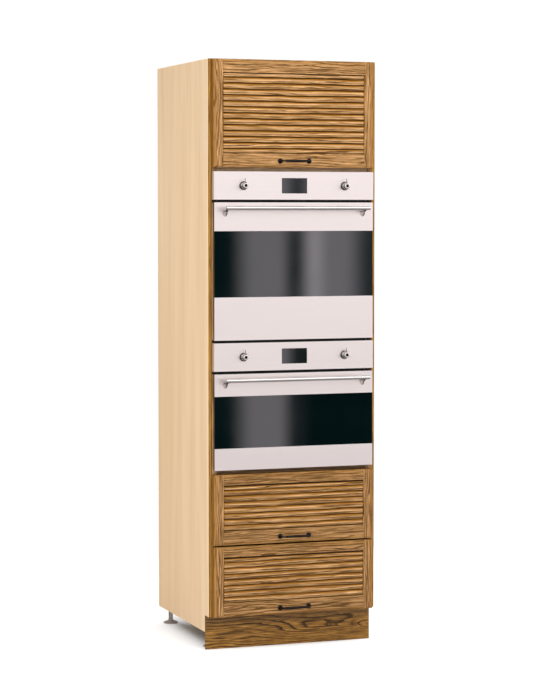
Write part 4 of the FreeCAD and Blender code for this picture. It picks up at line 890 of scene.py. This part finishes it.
# ------------------------------------------------------------------ oven handles
def oven_handle(label, body, door_top):
    zc = door_top - 20.5
    m = Mesh()
    # bar with softly domed ends
    prof = [(0, -270), (4.5, -269.9), (6.2, -269.2), (6.85, -268), (7, -266)] + [(7, x) for x in range(-240, 241, 40)] + \
           [(7, 266), (6.85, 268), (6.2, 269.2), (4.5, 269.9), (0, 270)]
    lathe(m, prof, lambda x, y, h: mm(h, -66 + x, zc + y), 48)
    m.done(label + "_handle_bar", M["steel_bar"], body, "polished_steel", [label + "_handle"], smooth=60)
    b = Mesh()
    for s in (-1, 1):
        rings = []
        cx = 258 * s
        # from the bar down and back to the door; half width, half height
        for u in [i / 14 for i in range(15)]:
            y = -62 + u * 41
            z = zc - 2 - 16.5 * u ** 1.25
            hw = 6.0 - 1.6 * math.sin(math.pi * u) + 3.2 * u ** 3
            hh = 6.0 - 1.8 * math.sin(math.pi * u) + 3.6 * u ** 3
            rings.append((y, z, hw, hh))
        n = 28
        verts, faces = [], []
        for y, z, hw, hh in rings:
            for k in range(n):
                a = 2 * math.pi * k / n
                ca, sa = math.cos(a), math.sin(a)
                drop = 1.0 if sa > 0 else 1.25
                narrow = 1.0 if sa > 0 else 1.0 - 0.35 * abs(sa) ** 2
                verts.append(mm(cx + hw * ca * narrow, y, z + hh * sa * drop))
        R = len(rings)
        for i in range(R - 1):
            for k in range(n):
                j = (k + 1) % n
                faces.append((i * n + k, i * n + j, (i + 1) * n + j, (i + 1) * n + k))
        faces.append(tuple(range(n)))
        faces.append(tuple(range((R - 1) * n, R * n)))
        vol = sum(Vector(verts[f[0]]).dot(Vector(verts[f[i]]).cross(Vector(verts[f[i + 1]]))) for f in faces[:-2] for i in range(1, len(f) - 1))
        b.add(verts, faces)
    ob = b.done(label + "_handle_brackets", M["bracket"], body, "polished_steel", smooth=60)
    import bmesh
    bm = bmesh.new()
    bm.from_mesh(ob.data)
    bmesh.ops.recalc_face_normals(bm, faces=bm.faces)
    bm.to_mesh(ob.data)
    bm.free()


oven_handle("upper_door", "upper_oven_door", 1582)
oven_handle("lower_door", "lower_oven_door", 981.4)


# ------------------------------------------------------------------ knobs
def knob(name, body, node, x, z):
    f = -21.0
    m = Mesh()
    prof = [(0, f + 11), (3, f + 11), (3, f - 0.35), (12.7, f - 0.35), (12.7, f - 3.9), (12.2, f - 4.4), (11.2, f - 5.2), (10.2, f - 6.6), (9.3, f - 8.6),
            (8.7, f - 10.8), (8.35, f - 13.2), (8.3, f - 15.6), (8.7, f - 18.2),
            (9.3, f - 20.4), (9.75, f - 22.4), (9.85, f - 24.2), (9.5, f - 25.8), (8.8, f - 26.6), (7.8, f - 26.95), (6.1, f - 27.0), (5.6, f - 26.8),
            (5.4, f - 26.2), (0, f - 26.2)]
    lathe(m, prof, lambda u, v, h: mm(x + u, h, z + v), 56)
    # bezel ring round the foot of the knob, in a darker copy of the chrome: a painted dark reflection
    r = Mesh()
    ring = [(12.8, f - 0.4), (14.8, f - 0.4), (15.3, f - 0.8), (15.5, f - 1.6), (15.4, f - 2.6), (15.0, f - 3.5), (14.3, f - 4.1), (13.5, f - 4.3), (12.9, f - 4.1)]
    n = 64
    verts = [mm(x + q[0] * math.cos(2 * math.pi * k / n), q[1], z + q[0] * math.sin(2 * math.pi * k / n)) for k in range(n) for q in ring]
    c = len(ring)
    faces = [(k * c + a, k * c + (a + 1) % c, ((k + 1) % n) * c + (a + 1) % c, ((k + 1) % n) * c + a) for k in range(n) for a in range(c)]
    vol = sum(Vector(verts[q[0]]).dot(Vector(verts[q[i]]).cross(Vector(verts[q[i + 1]]))) for q in faces for i in (1, 2))
    r.add(verts, [tuple(reversed(q)) for q in faces] if vol < 0 else faces)
    r.done(name + "_bezel", M["chrome_dark"], body, "chrome", smooth=50)
    # pointer ridge on the skirt
    pts = rounded([(x - 0.9, z + 8.6), (x + 0.9, z + 8.6), (x + 0.7, z + 12.6), (x - 0.7, z + 12.6)], 0.3, 2)
    extrude(m, pts, lambda u, v, w: mm(u, w, v), f - 4.8, f - 1.5)
    m.done(name, M["chrome"], body, "chrome", [node], smooth=50)
    # thin pointer that stands up from the grip
    q = Mesh()
    extrude(q, rounded([(x - 1.3, z + 8.0), (x + 1.3, z + 8.0), (x + 0.95, z + 25.6), (x - 0.95, z + 25.6)], 0.4, 3), lambda u, v, w: mm(u, w, v), f - 20.6, f - 17.0)
    q.done(name + "_pointer", M["pointer"], body, "chrome", smooth=40)
    d = Mesh()
    lathe(d, [(0, f - 26.1), (5.3, f - 26.1), (5.25, f - 26.6), (4.3, f - 26.85), (0, f - 26.95)], lambda u, v, h: mm(x + u, h, z + v), 28)
    d.done(name + "_dot", M["dot"], body, "chrome")


def dial_marks(name, x, z, arc, count):
    """Plain tick marks round a knob, a little proud of the panel."""
    m = Mesh()
    for k in range(count):
        a = math.radians(90 - arc / 2 + arc * k / (count - 1))
        r0, r1, hw = (18.6, 21.4, 0.32) if k % 3 else (18.2, 22.6, 0.45)
        ca, sa = math.cos(a), math.sin(a)
        pts = [(x + r0 * ca - hw * sa, z + r0 * sa + hw * ca), (x + r0 * ca + hw * sa, z + r0 * sa - hw * ca),
               (x + r1 * ca + hw * sa, z + r1 * sa - hw * ca), (x + r1 * ca - hw * sa, z + r1 * sa + hw * ca)]
        extrude(m, rounded(pts, 0.12, 1), lambda u, v, w: mm(u, w, v), -21.12, -20.9)
    m.done(name, M["mark"], "root", "brushed_steel", smooth=None)


for lvl, z in (("upper", 1639.55), ("lower", 1039.95)):
    for side, x in (("left", -190), ("right", 190)):
        knob("%s_%s_control_knob" % (lvl, side), "%s_%s_knob" % (lvl, side), "%s_oven_%s_knob" % (lvl, side), x, z)
        dial_marks("%s_%s_dial_marks" % (lvl, side), x, z, 250 if side == "right" else 300, 13)

# ------------------------------------------------------------------ edging, plinth, legs
# golden edging on the two cover panels
m = Mesh()
for s in (-1, 1):
    g = grain_fn(2, 0, 4100 + s)
    x0, x1 = 300.05, 312.95
    prof = [(x0, 0.98), (x0, 0.30), (x0 + 0.5, 0.06), (x0 + 1.4, 0.0), (x0 + 4.3, 0.0), (x0 + 6.4, 0.0), (x0 + 8.6, 0.0), (x1 - 1.4, 0.0), (x1 - 0.5, 0.06), (x1, 0.30), (x1, 0.98)]
    pts = [(x * s, y) for x, y in prof]
    zs = [122.5 + (2080 - 122.5) * k / 60 for k in range(61)]
    n0 = len(m.v)
    extrude(m, pts, lambda u, v, w: mm(u, v, w), zs[0], zs[-1], zs, g, 0.5)
    for q in range(n0, len(m.v)):
        x = abs(m.v[q][0]) * 1000
        off = (x - x0) / (x1 - x0)
        # painted light: the edging is lighter down its middle, and its two edges get painted shade
        m.t[q] = 0.28 + 0.50 * math.exp(-((off - 0.52) / 0.26) ** 2)
        m.d[q] = 0.40 * max(0.0, 1 - off / 0.07) + 0.22 * max(0.0, (off - 0.90) / 0.10)
m.done("cover_panel_edging", M["edge"], "root", "oak_edging", ["front_edge_strips"], smooth=40)

# edging on the carcass sides: a darker copy of the oak edging as painted shade, near black at the gaps between the
# fronts where the shadow is deep
m = Mesh()
for s in (-1, 1):
    g = grain_fn(2, 0, 4200 + s)
    pts = rounded([(282.0 * s, 0.98), (282.0 * s, 0.02), (299.95 * s, 0.02), (299.95 * s, 0.98)], [0.1, 0.25, 0.1, 0.1], 2)
    zs = sorted([122.5 + 1957.5 * k / 40 for k in range(41)] + [z + d for z in (985.5, 1094.1, 1586.0) for d in (-6.5, -4.5, 4.5, 6.5)])
    n0 = len(m.v)
    extrude(m, pts, lambda u, v, w: mm(u, v, w), zs[0], zs[-1], zs, g, 0.5)
    for q in range(n0, len(m.v)):
        z = m.v[q][2] * 1000
        # painted shade at the gaps between the fronts
        if min(abs(z - 985.5), abs(z - 1094.1), abs(z - 1586.0)) < 5.0:
            m.d[q] = 1.0
m.done("carcass_side_edging", M["recess_dark"], "root", "oak_edging", smooth=40)
# edging on the carcass top, foot and flap shelf in a lightened copy of the oak edging, painted light for the shadowed
# recesses; the oven support shelf edging is a darker copy, painted shade
m = Mesh()
for k, z in enumerate((2062, 122.5, 1687, 624, 0)):
    if k == 3:
        m.done("carcass_board_edging", M["recess"], "root", "oak_edging", smooth=40)
        m = Mesh()
    if k == 4:
        break
    g = grain_fn(0, 2, 4300 + k)
    pts = rounded([(0.98, z), (0.02, z), (0.02, z + 18), (0.98, z + 18)], [0.1, 0.3, 0.3, 0.1], 2)
    extrude(m, pts, lambda u, v, w: mm(w, u, v), -281.9, 281.9, 44, g, 0.5 + 0.1 * (k % 2))
m.done("oven_support_edging", M["recess_low"], "root", "oak_edging", smooth=40)

# plinth board
m = Mesh()
px = 299.7
out = [(-312.9, 42.9), (-312.5, 42.5), (312.5, 42.5), (312.9, 42.9), (312.9, 45.2), (px, 45.2), (px, 58.5), (-px, 58.5), (-px, 45.2), (-312.9, 45.2)]
extrude(m, out, lambda u, v, w: mm(u, v, w), 0.3, 122.2, [0.3, 0.9, 20, 40, 60, 80, 100, 121.6, 122.2], lambda v: (v[0] + v[1] * 0.6, v[2], v[1]), 0.5)
m.done("plinth_front", M["plinth"], "root", "oak_plinth", ["plinth_board"], smooth=30)

# legs: a moulded foot, a threaded spindle with a nut, a tube, a collar and a screwed plate
for i, (sx, y) in enumerate(((-1, 97), (1, 97), (-1, 577), (1, 577))):
    x = 275 * sx
    place = lambda u, v, h, x=x, y=y: mm(x + u, y + v, h)
    f = Mesh()
    lathe(f, [(0, 0.1), (25.6, 0.1), (26.7, 0.5), (27.0, 1.5), (26.8, 2.9), (26.0, 3.9), (24.0, 4.7), (18, 5.7), (13.6, 6.6), (11.6, 7.6), (10.6, 9.0), (10.2, 11.6), (9.6, 12.2), (0, 12.2)], place, 44)
    for q in range(8):
        a = 2 * math.pi * q / 8 + 0.2
        ca, sa = math.cos(a), math.sin(a)
        pts = [(12.2, 6.6), (23.5, 4.2), (23.5, 5.3), (12.2, 8.6)]
        extrude(f, pts, lambda u, v, w, ca=ca, sa=sa: place(u * ca - w * sa, u * sa + w * ca, v), -0.8, 0.8)
    f.done("leg_foot_%d" % i, M["foot"], "root", "leg_steel", ["adjustable_legs"] if i == 0 else (), smooth=35)
    c = Mesh()
    prof = [(0, 12.3), (6.4, 12.3)]
    z = 12.7
    while z < 17:
        prof += [(6.9, z), (6.3, z + 0.55)]
        z += 1.1
    prof += [(6.9, 17.4), (7.7, 17.6), (8.0, 18.2), (8.0, 98.0), (8.6, 100.0), (9.4, 103.0), (10.2, 106.0), (12.4, 106.4), (13.0, 107.2), (13.0, 117.6), (12.4, 118.4), (0, 118.4)]
    lathe(c, prof, place, 40)
    hexa = [(9.4 * math.cos(math.pi * q / 3), 9.4 * math.sin(math.pi * q / 3)) for q in range(6)]
    extrude(c, rounded(hexa, 0.8, 2), lambda u, v, w: place(u, v, w), 13.0, 16.4)
    extrude(c, rounded([(-23, -20), (23, -20), (23, 20), (-23, 20)], 4.0, 4), lambda u, v, w: place(u, v, w), 118.6, 122.4)
    for a, b in ((-17, -14), (17, -14), (17, 14), (-17, 14)):
        lathe(c, [(0, 118.7), (0, 117.2), (2.4, 117.3), (3.6, 118.0), (3.8, 118.7)], lambda u, v, h, a=a, b=b: place(a + u, b + v, h), 18)
    c.done("leg_column_%d" % i, M["leg"], "root", "leg_steel", smooth=35)

# every CAD node that stays gets its own finish, and those in SOFT a softened edge
FINISH = {
    "cover_panel_left": "birch", "cover_panel_right": "birch", "carcass_side_left": "board", "carcass_side_right": "board",
    "carcass_top": "board_top", "carcass_bottom": "board_shaded_under", "upper_fixed_shelf": "board_h", "oven_divider_shelf": "board_h",
    "oven_support_shelf": "board_h", "back_panels": "hard", "wall_fixing_rail": "board_h",
    "flap_fittings": "zinc", "flap_cabinet_brackets": "zinc",
    "strut_cylinders": "black_paint", "strut_rods": "polished", "upper_drawer_box": "drawer", "lower_drawer_box": "drawer",
    "upper_drawer_box_runners": "zinc", "lower_drawer_box_runners": "zinc", "upper_drawer_mid_runners": "zinc", "lower_drawer_mid_runners": "zinc",
    "drawer_runner_rails": "zinc", "upper_oven_control_panel": "steel_panel", "lower_oven_control_panel": "steel_panel",
    "upper_door_steel_bands": "steel", "lower_door_steel_bands": "steel", "upper_door_glass": "glass", "lower_door_glass": "glass",
    "upper_door_inner_frame": "alu", "lower_door_inner_frame": "alu", "upper_oven_fan": "galv", "lower_oven_fan": "galv",
    "oven_casings": "galv", "oven_front_frames": "dark_frame", "oven_cavities": "enamel", "oven_display_windows": "display",
    "oven_heating_elements": "element", "oven_fan_covers": "enamel", "oven_fan_motors": "galv", "oven_racks": "polished",
    "oven_door_seals": "rubber", "oven_cable_glands": "black"}
SOFT = {"cover_panel_left": 0.0008, "cover_panel_right": 0.0008, "upper_oven_control_panel": 0.0006, "lower_oven_control_panel": 0.0006,
        "upper_door_steel_bands": 0.0005, "lower_door_steel_bands": 0.0005, "upper_door_glass": 0.0004, "lower_door_glass": 0.0004,
        "oven_display_windows": 0.0003, "carcass_top": 0.0005, "upper_drawer_box": 0.0006, "lower_drawer_box": 0.0006}
for n, key in FINISH.items():
    paint(N[n], M[key])
    if n in SOFT:
        w = N[n].modifiers.new("weld", "WELD")
        w.merge_threshold = 0.000002
        b = N[n].modifiers.new("edge", "BEVEL")
        b.width = SOFT[n]
        b.segments = 2
        b.limit_method = "ANGLE"
        b.angle_limit = math.radians(50)
        b.harden_normals = True

# ------------------------------------------------------------------ floor, world, lights
def stage_floor():
    me = bpy.data.meshes.new("floor")
    xs = [-3.6 + 7.2 * i / 36 for i in range(37)]
    ys = [-3.4 + 5.2 * i / 26 for i in range(27)]
    verts = [(x, y, -0.0002) for x in xs for y in ys]
    n = len(ys)
    faces = [(i * n + j, (i + 1) * n + j, (i + 1) * n + j + 1, i * n + j + 1) for i in range(len(xs) - 1) for j in range(n - 1)]
    me.from_pydata(verts, [], faces)
    ob = bpy.data.objects.new("floor", me)
    SC.collection.objects.link(ob)
    t = Tree("pale_floor")
    n = t.noise(t.objc(), 1.2, 3.0, 0.5)
    col = t.ramp(n, [(0.3, (0.90, 0.90, 0.90)), (0.7, (0.92, 0.92, 0.92))])
    t.set(Base_Color=col, Roughness=0.9, Specular_IOR_Level=0.05)
    me.materials.append(t.mat)
    ob.visible_glossy = False


def studio():
    """White studio. Mirror-like surfaces see soft light panels in front, a darker left side and a dark floor."""
    world = bpy.data.worlds.new("studio")
    SC.world = world
    world.cycles.sampling_method = "NONE"
    t = Tree("", world)
    d = t.split(t.node("ShaderNodeTexCoord").outputs["Generated"])
    az = t.math("MULTIPLY", t.math("ARCTAN2", d[0], t.math("MULTIPLY", d[1], -1.0)), 57.29578)
    el = t.math("MULTIPLY", t.math("ARCSINE", d[2]), 57.29578)

    def band(v, a0, a1, b0, b1):
        up = t.span(v, a0, a1, 0.0, 1.0, True)
        down = t.span(v, b0, b1, 1.0, 0.0, True)
        return t.math("MULTIPLY", up, down)

    # room: dark below, bright to the front and above, softer overhead
    room = t.math("MULTIPLY", t.span(el, -24.0, 10.0, ROOM_LOW, 1.0, True), t.span(el, 42.0, 68.0, 1.0, 0.22, True))
    room = t.math("ADD", room, t.math("MULTIPLY", band(el, -40.0, -30.0, -76.0, -62.0), 0.62))
    room = t.math("MULTIPLY", room, t.span(d[1], 0.05, 0.55, 1.0, 0.22, True))
    left = band(az, -150.0, -115.0, -70.0, -38.0)
    room = t.math("MULTIPLY", room, t.math("MULTIPLY_ADD", left, -0.80, 1.0))
    room = t.math("MULTIPLY", room, ROOM)
    # window of the room that the oven glass mirrors: two soft vertical panels on black
    window = t.math("MULTIPLY", band(az, 12.5, 17.2, 23.4, 29.0), band(el, -11.0, -7.5, 0.2, 2.2))
    high = t.span(el, -3.7, -3.0, 0.0, 1.0, True)
    a = t.math("MULTIPLY", t.span(az, 18.66, 19.40, 0.03, 2.70, True), t.math("ADD", t.span(az, 19.95, 20.46, 1.0, 0.08, True), t.span(az, 20.46, 20.9, 0.0, -0.08)))
    b = t.math("ADD", t.math("MULTIPLY", band(az, 20.47, 20.90, 20.92, 21.36), 1.85),
               t.math("MULTIPLY", band(az, 20.45, 20.94, 21.65, 22.35), 2.45))
    tail = t.span(az, 20.3, 20.5, 0.0, 0.40)
    panels = t.math("ADD", a, t.math("MULTIPLY", high, t.math("ADD", b, tail)))
    inside = t.math("MAXIMUM", panels, 0.02)
    n = t.node("ShaderNodeMix", data_type="FLOAT")
    t.put(n, 0, window)
    t.put(n, 2, room)
    t.put(n, 3, inside)
    glossy = n.outputs[0]
    bg_g = t.node("ShaderNodeBackground")
    t.put(bg_g, "Color", t.mix(window, (1.0, 0.985, 0.985, 1), (1.08, 0.99, 1.05, 1)))
    t.put(bg_g, "Strength", glossy)
    bg_c = t.node("ShaderNodeBackground")
    bg_c.inputs["Color"].default_value = (1, 1, 1, 1)
    bg_c.inputs["Strength"].default_value = 1.02
    bg_d = t.node("ShaderNodeBackground")
    bg_d.inputs["Color"].default_value = (1.0, 1.0, 1.0, 1)
    ahead = t.math("MULTIPLY", t.span(d[1], -0.85, -0.30, 1.0, 0.0, True), t.span(el, -30.0, 58.0, FRONT_LOW, AMBIENT_TOP))
    t.put(bg_d, "Strength", t.math("MAXIMUM", t.span(el, 9.0, 58.0, AMBIENT, AMBIENT_TOP, True), ahead))
    lp = t.node("ShaderNodeLightPath")
    m1 = t.node("ShaderNodeMixShader")
    t.put(m1, 0, lp.outputs["Is Glossy Ray"])
    t.t.links.new(bg_d.outputs[0], m1.inputs[1])
    t.t.links.new(bg_g.outputs[0], m1.inputs[2])
    m2 = t.node("ShaderNodeMixShader")
    t.put(m2, 0, lp.outputs["Is Camera Ray"])
    t.t.links.new(m1.outputs[0], m2.inputs[1])
    t.t.links.new(bg_c.outputs[0], m2.inputs[2])
    out = t.node("ShaderNodeOutputWorld")
    t.t.links.new(m2.outputs[0], out.inputs["Surface"])


def area(name, loc, target, size, power, colour=(1, 1, 1), size_y=None, spread=180):
    d = bpy.data.lights.new(name, "AREA")
    d.energy = power
    d.color = colour
    d.shape = "RECTANGLE"
    d.size = size
    d.size_y = size_y or size
    d.spread = math.radians(spread)
    o = bpy.data.objects.new(name, d)
    SC.collection.objects.link(o)
    o.location = loc
    o.visible_glossy = False
    o.rotation_euler = (Vector(target) - Vector(loc)).to_track_quat("-Z", "Y").to_euler()
    return o


AMBIENT, AMBIENT_TOP, FRONT_LOW, ROOM, ROOM_LOW = 0.12, 1.70, 0.60, 1.42, 0.18
stage_floor()
studio()
area("key_light", (-3.6, -2.7, 4.5), (0, 0, 1.5), 2.0, 116)
area("top_light", (0.9, -2.8, 4.6), (0, 0, 1.4), 2.4, 110)
